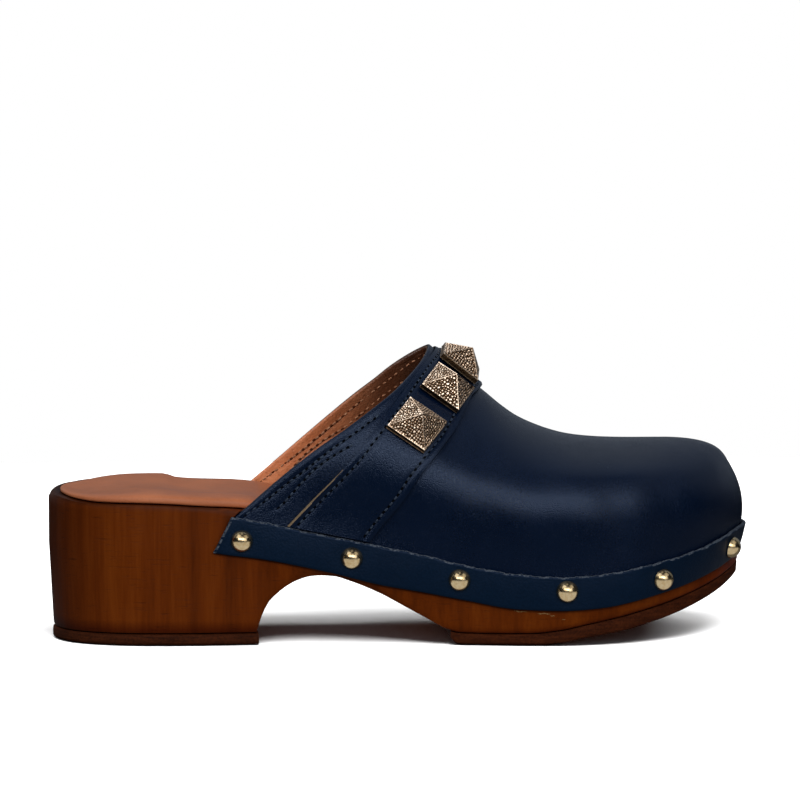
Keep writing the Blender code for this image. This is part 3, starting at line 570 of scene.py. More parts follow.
def polished_brass():
    n = Net('polished_brass')
    place = n.mm()
    haze = n.noise(place, .8, 3.0, .6)
    colour = n.mix(n.span(haze, .4, .65), (.80, .63, .38), (.70, .51, .26))
    return n.finish(colour=colour, metal=1.0, rough=n.span(haze, .3, .7, .17, .25), normal=n.bump(n.noise(place, 1.6, 2.0), .003))


def hammered_gold():
    n = Net('hammered_gold')
    grain = n.attribute('grain', 'Fac')
    fine = n.noise(n.mm(), 3.0, 2.0)
    colour = n.ramp(grain, ((0.0, (.012, .007, .004)), (.34, (.13, .066, .028)), (.58, (.86, .58, .38)), (1.0, (1.0, .84, .67))))
    colour = n.mix(n.span(fine, .55, .75, 0, .3), colour, (.40, .27, .16))
    return n.finish(colour=colour, metal=1.0, rough=n.span(grain, .2, .9, .55, .24), normal=n.bump(fine, .03))


def dark_bronze():
    n = Net('dark_bronze')
    fine = n.noise(n.mm(.6, .6, 2.2), 1.0, 3.0)
    colour = n.mix(n.span(fine, .4, .65), (.045, .026, .014), (.16, .10, .055))
    return n.finish(colour=colour, metal=1.0, rough=.42, normal=n.bump(fine, .03))


def worn_line(name, one, two, metal, rough):
    """Small dark or bright details: two tones in fine patches."""
    n = Net(name)
    fine = n.noise(n.mm(), 1.4, 3.0, .6)
    return n.finish(colour=n.mix(n.span(fine, .38, .64), one, two), metal=metal, normal=n.bump(fine, .03),
                    rough=n.span(fine, .3, .7, rough - .06, rough + .06), spec=.05 if metal == 0 else .5)


WOOD_DARK, WOOD_MID, WOOD_LIGHT = (.086, .0145, .0008), (.178, .0320, .0014), (.260, .055, .0036)

NAVY = grained_leather('navy_leather_grain', (.0010, .0070, .0270), (.0018, .0092, .0335), .21, depth=.12, spec=.54)
NAVY_STRAP = grained_leather('navy_strap_grain', (.0010, .0072, .0275), (.0017, .0092, .0330), .22, spec=.54)
NAVY_RAND = grained_leather('navy_rand_grain', (.0008, .0098, .0295), (.0014, .0125, .0360), .40, pebble=.7, depth=.08, spec=.34, tint=(.45, .6, 1.0))
NAVY_EDGE = raw_edge('navy_cut_edge', (.010, .016, .030), (.003, .005, .010), .6)
# lining leather, mottled and darkened by painted shade from a point attribute
LINING = tan_leather('tan_lining', (.56, .165, .060), (.74, .285, .130), .40, spec=.42, depth=.20, mottled_with_painted_shade=True)
SOCK_TOP = tan_leather('tan_sock', (.66, .210, .088), (.80, .270, .118), .44, spec=.36)
CREAM = raw_edge('cream_cut_edge', (.50, .37, .23), (.26, .17, .09))
GREY_RAW = raw_edge('grey_cut_edge', (.150, .180, .225), (.022, .034, .060))
BROWN_RAW = raw_edge('brown_cut_edge', (.26, .15, .085), (.08, .04, .02))
WOOD = stained_wood()
SCUFF = raw_edge('bare_wood_scrape', (.46, .27, .115), (.24, .095, .024))
LIFT = rubber('heel_rubber_grit', (.036, .0095, .0038), (.098, .0245, .0080))
TREAD_RUBBER = rubber('forefoot_rubber_grit', (.044, .0105, .0042), (.110, .0270, .0085))
BRASS = polished_brass()
GOLD = hammered_gold()
BRONZE = dark_bronze()
GOLD_LINE = worn_line('gold_line', (.68, .54, .38), (.34, .24, .14), 1.0, .35)
# navy thread whose pale blue-grey patches are painted glints
THREAD_WITH_PAINTED_GLINT = raw_edge('navy_thread_with_painted_glint', (.080, .115, .175), (.012, .020, .040), .38)
TAN_THREAD = raw_edge('tan_thread', (.44, .22, .125), (.22, .085, .038), .6)
# needle holes as flat dark discs: painted shade where the holes' recesses are
HOLE_PAINTED_SHADE = worn_line('needle_hole_painted_shade', (.0006, .0010, .0020), (.0016, .0028, .0050), 0.0, .9)
TAN_HOLE_PAINTED_SHADE = worn_line('lining_needle_hole_painted_shade', (.045, .012, .005), (.090, .028, .012), 0.0, .9)


# --------------------------------------------------------------- mesh helpers
def add_piece(name, verts, faces, mats, which=None, sharp=None, nodes=(), point=None):
    """An object from points in millimetres, riding on the shoe."""
    mesh = bpy.data.meshes.new(name)
    mesh.from_pydata(to_row(verts).tolist(), [], [tuple(int(i) for i in f) for f in faces])
    for m in mats:
        mesh.materials.append(m)
    if which is not None:
        mesh.polygons.foreach_set('material_index', np.asarray(which, np.int32))
    for key, values in (point or {}).items():
        values = np.asarray(values, float)
        if values.ndim == 1:
            mesh.attributes.new(key, 'FLOAT', 'POINT').data.foreach_set('value', values)
        else:
            full = np.concatenate([values, np.ones((len(values), 1))], 1).ravel()
            mesh.attributes.new(key, 'FLOAT_COLOR', 'POINT').data.foreach_set('color', full)
    mesh.update()
    mesh.shade_smooth()
    if sharp is not None:
        mesh.set_sharp_from_angle(angle=math.radians(sharp))
    obj = bpy.data.objects.new(name, mesh)
    bpy.context.scene.collection.objects.link(obj)
    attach(obj, 'root')
    if nodes:
        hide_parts(*nodes)
    return obj


def grid_faces(rows, cols, ring=False, start=0):
    i, j = np.meshgrid(np.arange(rows - 1), np.arange(cols if ring else cols - 1), indexing='ij')
    k = (j + 1) % cols
    return (np.stack([i * cols + j, i * cols + k, (i + 1) * cols + k, (i + 1) * cols + j], -1) + start).reshape(-1, 4)


def weld(verts, faces, which=None, dist=.004, outward_up=False, closed=False):
    """Join coincident points; returns points, normals, faces, face tags and the bare rim."""
    mesh = bpy.data.meshes.new('weld')
    mesh.from_pydata(np.asarray(verts).tolist(), [], [tuple(int(i) for i in f) for f in faces])
    bm = bmesh.new()
    bm.from_mesh(mesh)
    tag = bm.faces.layers.int.new('tag')
    if which is not None:
        for f, w in zip(bm.faces, which):
            f[tag] = int(w)
    bmesh.ops.remove_doubles(bm, verts=bm.verts, dist=dist)
    bmesh.ops.dissolve_degenerate(bm, edges=bm.edges, dist=dist)
    bmesh.ops.recalc_face_normals(bm, faces=bm.faces)
    bm.normal_update()
    flip = (closed and bm.calc_volume(signed=True) < 0) or \
           (outward_up and sum(f.normal.z * f.calc_area() for f in bm.faces) < 0)
    if flip:
        bmesh.ops.reverse_faces(bm, faces=bm.faces)
        bm.normal_update()
    bm.verts.index_update()
    co = np.array([v.co for v in bm.verts])
    no = np.array([v.normal for v in bm.verts])
    fs = [tuple(v.index for v in f.verts) for f in bm.faces]
    tags = [f[tag] for f in bm.faces]
    rim = []
    for e in bm.edges:
        if len(e.link_faces) == 1:
            loop = e.link_faces[0].loops
            a, b = e.verts
            for lp in loop:
                if {lp.vert, lp.link_loop_next.vert} == {a, b}:
                    rim.append((lp.vert.index, lp.link_loop_next.vert.index))
                    break
    bm.free()
    bpy.data.meshes.remove(mesh)
    return co, no, fs, tags, rim


def matrix_on(point, normal, up):
    """Frame that stands on a surface, its Z along the normal."""
    z = Vector(normal).normalized()
    y = (Vector(up) - Vector(up).dot(z) * z).normalized()
    return np.array(Matrix((y.cross(z), y, z)).transposed()), np.array(point, float)


# ---------------------------------------------------------------------- upper
NEAR = np.array((0, .2, .45, .8, 1.2, 1.7, 2.3, 2.9, 3.5, 4.1, 4.7, 5.3, 5.9, 6.5, 7.2, 8, 8.8, 9.6, 10.4, 11.2, 12,
                 12.8, 13.6, 14.4, 15.2, 16, 17, 18.5, 20)) / 120
SHARES = np.concatenate([NEAR, np.linspace(NEAR[-1], 1, 86)[1:]])
HEIGHTS = np.concatenate([np.linspace(0, .5, 34), np.linspace(.5, 1, 38)[1:]])


def skirt(p, x, side):
    """Rows below the feather line, down to the seat in the sole."""
    top, out = float(feather(x)), []
    fade = float(np.clip((120 - x) / 50, 0, 1))
    for f in (0.0, .35, .7):
        xx = x
        for _ in range(6):
            low = float(col(BAND, 'bottom', xx)) + REBATE_LIP + GAP + .15
            z = low + f * (top - low)
            xx = x + fade * float(collar_x(side)(z) - collar_x(side)(p[2]))
        ex, ey = edge(xx, side, float(wall_off(xx, z)))
        out.append((float(ex), float(ey), z))
    return np.array(out)


def fold_height(p):
    """Soft troughs and swells of the vamp's outer side."""
    total = np.zeros(len(p))
    outer = np.clip((col(RIDGE, 'y', p[:, 0]) - 8 - p[:, 1]) / 14, 0, 1)
    for f in FOLDS:
        a, b = np.array(f['a'], float), np.array(f['b'], float)
        d = b - a
        q = p[:, (0, 2)] - a
        s = np.clip(q @ d / (d @ d), -.25, 1.25)
        away = np.linalg.norm(q - s[:, None] * d, axis=1)
        ends = np.clip(1 - np.maximum(np.abs(s - .5) - .25, 0) / .5, 0, 1)
        total += f['high'] * ends * np.exp(-(away / f['wide'])**2)
    return total * outer


def groove(p, side_mask, line, deep, wide):
    away = (p[:, 0] - line(p[:, 2])) * .64
    return -deep * np.exp(-(away / wide)**2) * side_mask


def build_upper():
    s, t = np.meshgrid(SHARES, HEIGHTS, indexing='ij')
    halves = {}
    for side in (-1, 1):
        p = between(collar_x(side), pole_plane, s, side, t)
        low = np.array([skirt(c[0], float(c[0][0]), side) for c in p])
        halves[side] = np.concatenate([low, p], 1)
    body = np.concatenate([halves[-1], halves[1][:, ::-1][:, 1:]], 1)
    verts, faces = [body.reshape(-1, 3)], [grid_faces(*body.shape[:2])]
    count = body.shape[0] * body.shape[1]
    toe_x = stations(POLE_X, LENGTH, 54)
    for side in (-1, 1):
        g = np.array([np.concatenate([skirt(fan(x, side, 0.0), float(x), side), fan(x, side, HEIGHTS)]) for x in toe_x])
        verts.append(g.reshape(-1, 3))
        faces.append(grid_faces(*g.shape[:2], start=count))
        count += g.shape[0] * g.shape[1]
    co, no, fs, _, rim = weld(np.concatenate(verts), np.concatenate(faces), outward_up=True)
    side = np.where(co[:, 1] < col(RIDGE, 'y', co[:, 0]), -1, 1)
    lat, med = (side < 0).astype(float), (side > 0).astype(float)
    z = co[:, 2]
    ahead = np.where(side < 0, co[:, 0] - collar_x(-1)(z), co[:, 0] - collar_x(1)(z)) * .64
    ahead = np.maximum(ahead, 0)
    roll = .78
    drop = np.where(ahead < roll, roll - np.sqrt(np.maximum(roll**2 - (roll - ahead)**2, 0)), 0)
    lift = fold_height(co) + .10 * waves(co, 34, 3) * np.clip((co[:, 0] - 120) / 30, 0, 1)
    seams = np.zeros(len(co))
    for row, mask_top, mask_low in ((ROW_A, 84, 44), (ROW_B, 73, 48)):
        inside = ((z < mask_top) & (z > mask_low)).astype(float)
        seams += groove(co, lat * inside, row_line(row, -1), .22, .75)
        seams += groove(co, med * inside, row_line(row, 1), .22, .75)
    # the edge between top line and first seam puffs up a little
    puff = .22 * np.exp(-((ahead - 1.6) / .9)**2) * ((z > 46) & (z < 100))
    outer = co + no * (lift + seams + puff - drop)[:, None]
    ripple = .12 * waves(co, 9, 11)
    inner = co + no * (drop - UPPER_WALL + .6 * seams * -1 + ripple * (ahead > 2))[:, None]
    n = len(co)
    mid = (outer * .55 + inner * .45)
    points = np.concatenate([outer, inner, mid])
    polys = list(fs) + [tuple(i + n for i in f[::-1]) for f in fs]
    which = [0] * len(fs) + [1] * len(fs)
    for a, b in rim:
        polys.append((b, a, a + 2 * n, b + 2 * n))
        which.append(2)
        polys.append((b + 2 * n, a + 2 * n, a + n, b + n))
        which.append(3)
    used = np.unique(np.concatenate([np.asarray(f) for f in polys]))
    new = np.full(len(points), -1)
    new[used] = np.arange(len(used))
    polys = [tuple(new[i] for i in f) for f in polys]
    polys, which, points = np.array(polys, object), np.array(which), points[used]

    def part(name, mask, mats, slot, nodes=(), painted_shade_and_tone=None):
        faces = [tuple(f) for f in polys[mask]]
        mine = np.unique(np.concatenate([np.asarray(f) for f in faces]))
        index = np.full(len(points), -1)
        index[mine] = np.arange(len(mine))
        shade = {} if painted_shade_and_tone is None else {'painted_shade_and_tone': painted_shade_and_tone(points[mine])}
        return add_piece(name, points[mine], [tuple(index[i] for i in f) for f in faces], mats, which[mask], 75, nodes, shade)

    # painted shade: the lining darkens towards the front of the opening, deep inside the shoe, where the sides shade it
    def painted_depth_shade(p):
        return np.interp(p[:, 0], (72, 95, 110, 121, 132), (1.0, .85, .50, .18, .08))[:, None] * (1, .93, .86)

    which[which == 1] = 9
    which[(which == 2) | (which == 3)] -= 1
    inner_side = which == 9
    outer = part('upper_leather', ~inner_side, (NAVY, NAVY_EDGE, BROWN_RAW), 'navy_leather', ('upper',))
    which[inner_side] = 0
    part('upper_lining', inner_side, (LINING,), 'tan_leather', painted_shade_and_tone=painted_depth_shade)
    return outer


# ---------------------------------------------------------------------- strap
STRAP_RISE = GAP + .05 + OVERLAY


def strap_edge_height(t):
    """The back edge is thick and free low down, thin and sewn down higher up."""
    return np.interp(t, (0, .40, .56, 1), (1.0, 1.0, .42, .42))


def strap_bevel(t):
    """Width of the pale cut along the back edge, widest at the rand."""
    return np.interp(t, (0, .06, .14, .22, .29), (.48, .42, .34, .26, 0))


def build_strap():
    across = np.concatenate([[0, .008, .016, .024, .032, .042], np.linspace(.058, .945, 40), [.97, .988, 1]])
    ts = np.concatenate([np.linspace(.004, .5, 56), np.linspace(.5, 1, 60)[1:]])
    top, low, cream = [], [], []
    for s in across:
        raw = []
        row_top, row_low = [], []
        for side in (-1, 1):
            p = between(strap_back, strap_front, s, side, ts)
            n = normals_at(p[:, 0], side, ts)
            wide = (strap_front(p[:, 2]) - strap_back(p[:, 2])) * .66
            from_back, from_front = s * wide, (1 - s) * wide
            back_rise = strap_edge_height(ts)
            h = np.full(len(ts), OVERLAY)
            soft = np.clip(from_back / 3.2, 0, 1)
            h *= back_rise + (1 - back_rise) * soft * soft * (3 - 2 * soft)
            h -= .30 * np.exp(-(from_front / .55)**2) + .12 * np.exp(-(from_back / .45)**2)
            h -= .26 * np.exp(-((from_back - STRAP_SEAM['back'] * .66) / .7)**2)
            h -= .26 * np.exp(-((from_front - STRAP_SEAM['front'] * .66) / .7)**2)
            h += .10 * np.exp(-((from_front - 1.0) / .8)**2)
            h += .07 * waves(p, 21, 5)
            bevel = strap_bevel(ts)
            h = np.where(bevel > .05, h * np.clip(.15 + .85 * from_back / np.maximum(bevel, .05), 0, 1), h)
            free = .50 * np.exp(-(from_back / 1.3)**2) * np.clip((.40 - ts) / .22, 0, 1) * np.clip(ts / .06, 0, 1)
            lo = GAP + .05 + .7 * free
            h = h + free
            raw.append(from_back + 0 * ts < bevel - .02)
            row_top.append(p + n * (GAP + .05 + np.maximum(h, .35))[:, None])
            row_low.append(p + n * lo[:, None])
        top.append(np.concatenate([row_top[0], row_top[1][::-1][1:]]))
        low.append(np.concatenate([row_low[0], row_low[1][::-1][1:]]))
        cream.append(np.concatenate([raw[0], raw[1][::-1][1:]]))
    top, low = np.array(top), np.array(low)
    middle = [top[0] * .5 + low[0] * .5, top[-1] * .5 + low[-1] * .5]
    ring = np.concatenate([low[:1], middle[0][None], top, middle[1][None], low[::-1][:-1]], 0)
    rows, cols = ring.shape[:2]
    verts = ring.reshape(-1, 3)
    faces, which = [], []
    side_t = np.concatenate([ts, ts[::-1][1:]])
    for i in range(rows):
        k = (i + 1) % rows
        for j in range(cols - 1):
            faces.append((i * cols + j, i * cols + j + 1, k * cols + j + 1, k * cols + j))
            edge_back = i in (0, 1)
            edge_front = i in (len(top) + 1, len(top) + 2)
            k_top = i - 2
            bare = 0 <= k_top < len(top) - 1 and cream[k_top][j]
            which.append(1 if bare or (i == 1 and cream[0][j]) else 2 if edge_back or edge_front else 0)
    faces.append(tuple(i * cols for i in range(rows)))
    faces.append(tuple(i * cols + cols - 1 for i in range(rows)))
    which += [2, 2]
    co, _, fs, tags, _ = weld(verts, faces, which, closed=True)
    return add_piece('strap_leather', co, fs, (NAVY_STRAP, CREAM, NAVY_EDGE), tags, 50, ('instep_strap',))


# ----------------------------------------------------------------------- rand
def nail_places():
    """Nails by their table on the outer side, then by pitch round the toe."""
    places = [(x, -1, r) for x, r in zip(NAILS['x'], NAILS['rise'])]
    xs = stations(0, LENGTH, 900)
    path = [(x, -1) for x in xs if x > NAILS['x'][-1]] + [(x, 1) for x in xs[::-1]]
    pts = np.array([edge(x, s) for x, s in path])
    length = np.concatenate([[0], np.cumsum(np.linalg.norm(np.diff(pts, axis=0), axis=1))])
    d = NAIL_PITCH
    while True:
        i = int(np.searchsorted(length, d))
        if i >= len(path) or path[i][0] < NAILS['x'][0] - 4:
            return places
        places.append((path[i][0], path[i][1], 0.6))
        d += NAIL_PITCH


def nail_frame(x, side, rise):
    z = float(col(BAND, 'top', x) + col(BAND, 'bottom', x)) / 2 + rise
    off = float(wall_off(x, z)) + GAP + OVERLAY
    p, q = edge(x, side, off), edge(x, side, off + 1)
    bend = 0.25 if x > 215 else 0.0
    tilt = float(col(LEAN, 'band', x)) / float(col(BAND, 'top', x) - col(BAND, 'bottom', x))
    n = np.array((q[0] - p[0], q[1] - p[1], -tilt))
    return np.array((*p, z)) + (GAP + bend) * n, n


NAIL_SPOTS = [(x, side, rise) + nail_frame(x, side, rise) for x, side, rise in nail_places()]


def build_rand():
    xs = np.concatenate([np.linspace(RAND_BACK, 92, 44)[:-1], np.linspace(92, 222, 150)[:-1], stations(222, LENGTH, 64)])
    levels = np.concatenate([[0, .018, .05], np.linspace(.10, .88, 14), [.93, .958, .985, 1.0]])
    heads = np.array([s[3] for s in NAIL_SPOTS])
    rings = []
    for side in (-1, 1):
        half = []
        for x in xs:
            slant = np.interp(x, (RAND_BACK, 92), (1, 0))
            zb, zt = float(col(BAND, 'bottom', x)), float(col(BAND, 'top', x))
            ragged = .10 * math.sin(x * 1.9 + side) + .08 * math.sin(x * 3.7 + 2 * side) + .12 * math.sin(x * .61)
            ring = []
            for f in levels:
                z = zb + f * (zt - zb + ragged)
                out = GAP + OVERLAY
                if f < .05:
                    out -= (.45, .12)[int(f > .01)]
                out += .22 * math.sin(math.pi * min(max((f - .05) / .9, 0), 1)) - .10
                if f >= .985:
                    out -= .25 if f < 1 else .62
                ring.append((x + slant * RAND_SLANT * (z - zb), z, float(wall_off(x, min(z, zt))) + out))
            pts = [(*edge(xx, side, off), z) for xx, z, off in ring]
            inner = [(*edge(x + slant * RAND_SLANT * (z - zb), side, float(wall_off(x, min(z, zt))) + GAP), z)
                     for z in (zt + ragged - .1, zb)]
            half.append(pts + inner)
        rings += half if side < 0 else half[::-1][1:]
    rings = np.array(rings, float)
    # frayed ends
    fray = .16 * np.sin(np.arange(len(levels)) * 2.1) + .14 * np.sin(np.arange(len(levels)) * 4.7 + 1)
    rings[0, :len(levels), 0] += fray - .1
    rings[-1, :len(levels), 0] += fray[::-1] - .1
    # leather pulled in under each nail head
    flat = rings.reshape(-1, 3)
    for h, spot in zip(heads, NAIL_SPOTS):
        away = np.linalg.norm(flat - h, axis=1)
        flat -= (spot[4] / np.linalg.norm(spot[4]))[None] * (.42 * np.exp(-(away / 4.6)**2))[:, None] * (away > 0)[:, None]
    rows, cols = rings.shape[:2]
    faces, which = [], []
    last = len(levels)
    for i in range(rows - 1):
        for j in range(cols):
            k = (j + 1) % cols
            faces.append((i * cols + j, i * cols + k, (i + 1) * cols + k, (i + 1) * cols + j))
            torn = math.sin(i * .83) + .7 * math.sin(i * 2.31 + 1) > .1
            raw = j in (last - 2, last - 1) or (j == last - 3 and torn) or (i in (0, rows - 2) and j < last and math.sin(j * 1.9) + math.sin(j * 4.3 + 1) > -.2)
            which.append(1 if raw else 2 if j in (cols - 1, 0) else 0)
    faces += [tuple(range(cols)), tuple((rows - 1) * cols + j for j in range(cols))]
    which += [1, 1]
    co, _, fs, tags, _ = weld(flat, faces, which, closed=True)
    return add_piece('rand_leather', co, fs, (NAVY_RAND, GREY_RAW, NAVY_EDGE), tags, 55, ('rand',))


# ----------------------------------------------------------------- wood sole
def build_wood():
    step = float(collar_x(-1)(34.0)) - 0.5
    xs = np.concatenate([stations(0, 57, 46), [step - .12, step], np.linspace(63.5, 73.6, 8), [74.3, 75.4, 76.5, 78.2],
                         np.linspace(80, 220, 110), stations(POLE_X, LENGTH, 44)])
    rings, tones, wears = [], [], []
    for x in xs:
        cut = REBATE if x >= step else 0.0
        slant = np.interp(x, (40, step, 104), (0, 1, 0))
        ledge = float(col(BAND, 'bottom', x)) + REBATE_LIP
        under, base = float(col(UNDER, 'z', x)), -float(col(LEAN, 'base', x))
        walls, marks = {}, {}
        for side in (-1, 1):
            pts, painted_shade_and_tone = [], []
            levels = [(under, base - 1.2), (under + .3, base - .35), (under + 1.0, base)]
            for z in sorted([under + 1.0 + f * (ledge - under - 1.0) for f in np.linspace(0, 1, 9)[1:]] + [ledge - REBATE_LIP - .05]):
                levels.append((z, float(wall_off(x, z))))
            levels.append((ledge + (0 if cut else 1.0), float(wall_off(x, ledge)) - cut))
            for z, off in levels:
                pts.append((*map(float, edge(x, side, off)), float(z)))
            z = float(np.clip(col(BAND, 'top', x), ledge + 2.5, rim_z(x, -1) - 1.8))
            ex, ey = edge(x + slant * (collar_x(side)(z) - collar_x(side)(ledge)), side, wall_off(x, z) - cut)
            pts.append((float(ex), float(ey), z))
            wide = float(np.interp(x, (0, 5, 22), (2.6, 2.2, 1.0)))
            for drop, off in ((wide, -cut), (.3 * wide, -cut - .28 * wide), (0.0, -cut - wide)):
                z = rim_z(x, side)
                for _ in range(6):
                    lean = slant * (collar_x(side)(z - drop) - collar_x(side)(ledge))
                    ex, ey = edge(x + lean, side, off)
                    z = bed_z(ex, ey)
                pts.append((float(ex), float(ey), float(z - drop)))
            walls[side] = pts
        a, b = np.array(walls[-1][-1]), np.array(walls[1][-1])
        bed = []
        for v in np.linspace(0, 1, 12)[1:-1]:
            p = a + (b - a) * v
            bed.append((p[0], p[1], float(bed_z(p[0], p[1]))))
        a, b = np.array(walls[1][0]), np.array(walls[-1][0])
        belly = [tuple(a + (b - a) * v) for v in np.linspace(0, 1, 8)[1:-1]]
        rings.append(walls[-1] + bed + walls[1][::-1] + belly)
    rings = np.array(rings, float)
    rows, cols = rings.shape[:2]
    faces = np.concatenate([grid_faces(rows, cols, ring=True)])
    co, no, fs, _, _ = weld(rings.reshape(-1, 3), faces, closed=True)
    x, z = co[:, 0], co[:, 2]
    top = np.where(x < 62, rim_z(np.minimum(x, 62), -1), 999)
    rim_dark = np.clip(1 - (top - z) / 1.6, 0, 1)
    heel_line = np.exp(-((z - 5.4) / .75)**2) * (x < 76)
    foot = np.clip(1 - (z - 4.2) / 1.3, 0, 1) * (x < 76)
    # painted shade: the heel's back turns darker and bluer, as it faces away from the light
    back = np.clip((26 - x) / 26, 0, 1)**1.4
    toe = np.clip((x - 226) / 20, 0, 1)
    glue = np.exp(-((z - col(UNDER, 'z', x) - .4) / .55)**2) * (x > 140)
    # the point tone multiplies the wood's colour: painted shade at the heel's back, and darker marks along the rim's
    # top at the heel, a band above the heel lift, the heel's foot, the toe end and the joint with the forefoot rubber
    shade = (1 - .62 * rim_dark) * (1 - .50 * heel_line) * (1 - .45 * foot) * (1 - .60 * back) * (1 - .34 * toe) * (1 - .5 * glue)
    shade = shade[:, None] * np.ones(3)
    shade[:, 1] *= 1 - .30 * heel_line - .12 * toe - .2 * glue
    shade[:, 0] *= 1 + .10 * toe
    shade[:, 2] *= 1 + 1.2 * back + 1.5 * toe
    wear = np.clip(.10 + .9 * toe + .3 * glue, 0, 1)
    return add_piece('wood_grain_sole', co, fs, (WOOD,), None, 38, ('wood_sole',), {'painted_shade_and_tone': shade, 'wear': wear})


# --------------------------------------------------------------------- insole
def build_insole():
    xs = np.concatenate([stations(0, 60, 46), np.arange(62, 206, 3.0), stations(208, LENGTH, 34)])
    inset = (0.55, 0.10, 0.0, 0.0, 0.25, 0.70, 1.5, 3.0, 5.4, 7.8, 9.6)
    lift = (0, .07, .22, .46, .63, .77, .89, 1.0, 1.10, 1.16, 1.16)
    rings = []
    for x in xs:
        edges, thick = {}, {}
        for side, name in ((-1, 'lat'), (1, 'med')):
            near = float(np.interp(x, (0, 6, 16, 30, 62), (.35, 1.05, 1.7, 1.5, 1.0) if side < 0 else (.35, .6, 1, 1, 1)))
            edges[side] = [edge(x, side, -float(col(SOCK, name, x)) - d * near) for d in inset]
            thick[side] = float(col(SOCK, 'thick_' + name, x))
        ring = []
        for e, h in zip(edges[-1], lift):
            ring.append((*e, float(bed_z(e[0], e[1])) + GAP + .15 + h * thick[-1]))
        a, b = np.array(edges[-1][-1]), np.array(edges[1][-1])
        for v in np.linspace(0, 1, 20)[1:-1]:
            p = a + (b - a) * v
            far = v * v * (3 - 2 * v)
            high = (thick[-1] * (1 - far) + thick[1] * far) * (1.16 - .20 * math.sin(math.pi * min(v * 2.2, 1) / 2) * (1 - v))
            ring.append((*p, float(bed_z(p[0], p[1])) + GAP + .15 + high))
        for e, h in list(zip(edges[1], lift))[::-1]:
            ring.append((*e, float(bed_z(e[0], e[1])) + GAP + .15 + h * thick[1]))
        a, b = np.array(edges[1][0]), np.array(edges[-1][0])
        for v in np.linspace(0, 1, 10)[1:-1]:
            p = a + (b - a) * v
            ring.append((*p, float(bed_z(p[0], p[1])) + GAP + .15))
        rings.append(ring)
    rings = np.array(rings, float)
    co, no, fs, _, _ = weld(rings.reshape(-1, 3), grid_faces(*rings.shape[:2], ring=True), closed=True)
    soft = .04 * waves(co, 26, 8) * np.clip(no[:, 2], 0, 1)
    co = co + no * soft[:, None]
    obj = add_piece('padded_sock', co, fs, (SOCK_TOP,), None, 70, ('insole',))
    return obj


# --------------------------------------------------- scuffs on the wood's edge
def build_scuffs():
    """Thin pale scrapes on the outer side, just below the rand."""
    spots = dict(x=(164.4, 172.8, 177.2, 181.4), length=(4.6, 4.4, 1.6, 1.2), drop=(.75, 1.15, 1.9, 3.2), width=(.55, .60, .45, .40))
    verts, faces = [], []
    for x0, length, drop, width in zip(*spots.values()):
        start = len(verts)
        for f in np.linspace(0, 1, 13):
            x = x0 + f * length
            mid = float(col(BAND, 'bottom', x)) - drop + .12 * math.sin(f * 9 + x0)
            half = width * (math.sin(math.pi * (.06 + .88 * f)) ** .6) * (.7 + .3 * math.sin(f * 23 + x0)) / 2
            for z in (mid - half, mid + half):
                verts.append((*map(float, edge(x, -1, float(wall_off(x, z)) + .05)), z))
        faces += [tuple(q) for q in grid_faces(13, 2, start=start)]
    return add_piece('wood_scuffs', np.array(verts), faces, (SCUFF,))


# -------------------------------------------------------------------- rubbers
def build_outsole():
    xs = np.concatenate([[OUTSOLE_BACK, 142.6, 143.6, 145], np.linspace(147, 178, 20), stations(180, LENGTH, 60)])
    rings = []
    for x in xs:
        low, high = float(col(TREAD, 'z', x)), float(col(UNDER, 'z', x)) - GAP
        inset = -float(col(LEAN, 'base', x))
        wob = .10 * math.sin(x * .9) + .08 * math.sin(x * 2.3)
        ring = []
        for side in (-1, 1):
            pts = [(*edge(x, side, inset - 1.4), low), (*edge(x, side, inset - .85), low + .28), (*edge(x, side, inset - .5 + wob), low + .9),
                   (*edge(x, side, inset - .38 + wob), (low + .9) * .5 + high * .5), (*edge(x, side, inset - .30 + wob), high - .25),
                   (*edge(x, side, inset - .6), high)]
            ring += pts if side < 0 else pts[::-1]
        rings.append(ring)
    rings = np.array(rings, float)
    rows, cols = rings.shape[:2]
    faces = list(map(tuple, grid_faces(rows, cols, ring=True))) + [tuple(range(cols)), tuple((rows - 1) * cols + j for j in range(cols))]
    co, _, fs, _, _ = weld(rings.reshape(-1, 3), faces, closed=True)
    return add_piece('forefoot_rubber_sole', co, fs, (TREAD_RUBBER,), None, 40, ('forefoot_outsole',))


def build_lift():
    xs = stations(0, LIFT_FRONT, 60)
    inset = -float(LEAN['base'][0]) + .25
    levels = ((0, -.7), (.25, -.2), (.7, 0), (1.9, .06), (3.1, 0), (3.55, -.12), (LIFT_THICK, -.5))
    loops = []
    for z, d in levels:
        lat = [edge(x, -1, inset + d) for x in xs]
        med = [edge(x, 1, inset + d) for x in xs[1:]]
        loop = np.array([(float(p[0]), float(p[1]), z) for p in lat[::-1] + med])
        loop[:, 0] = np.minimum(loop[:, 0], LIFT_FRONT + .4 * d)
        loops.append(loop)
    rings = np.array(loops)
    rows, cols = rings.shape[:2]
    faces = list(map(tuple, grid_faces(rows, cols, ring=True))) + [tuple(range(cols)), tuple((rows - 1) * cols + j for j in range(cols))]
    co, _, fs, _, _ = weld(rings.reshape(-1, 3), faces, closed=True)
    return add_piece('heel_rubber_lift', co, fs, (LIFT,), None, 40, ('heel_lift',))


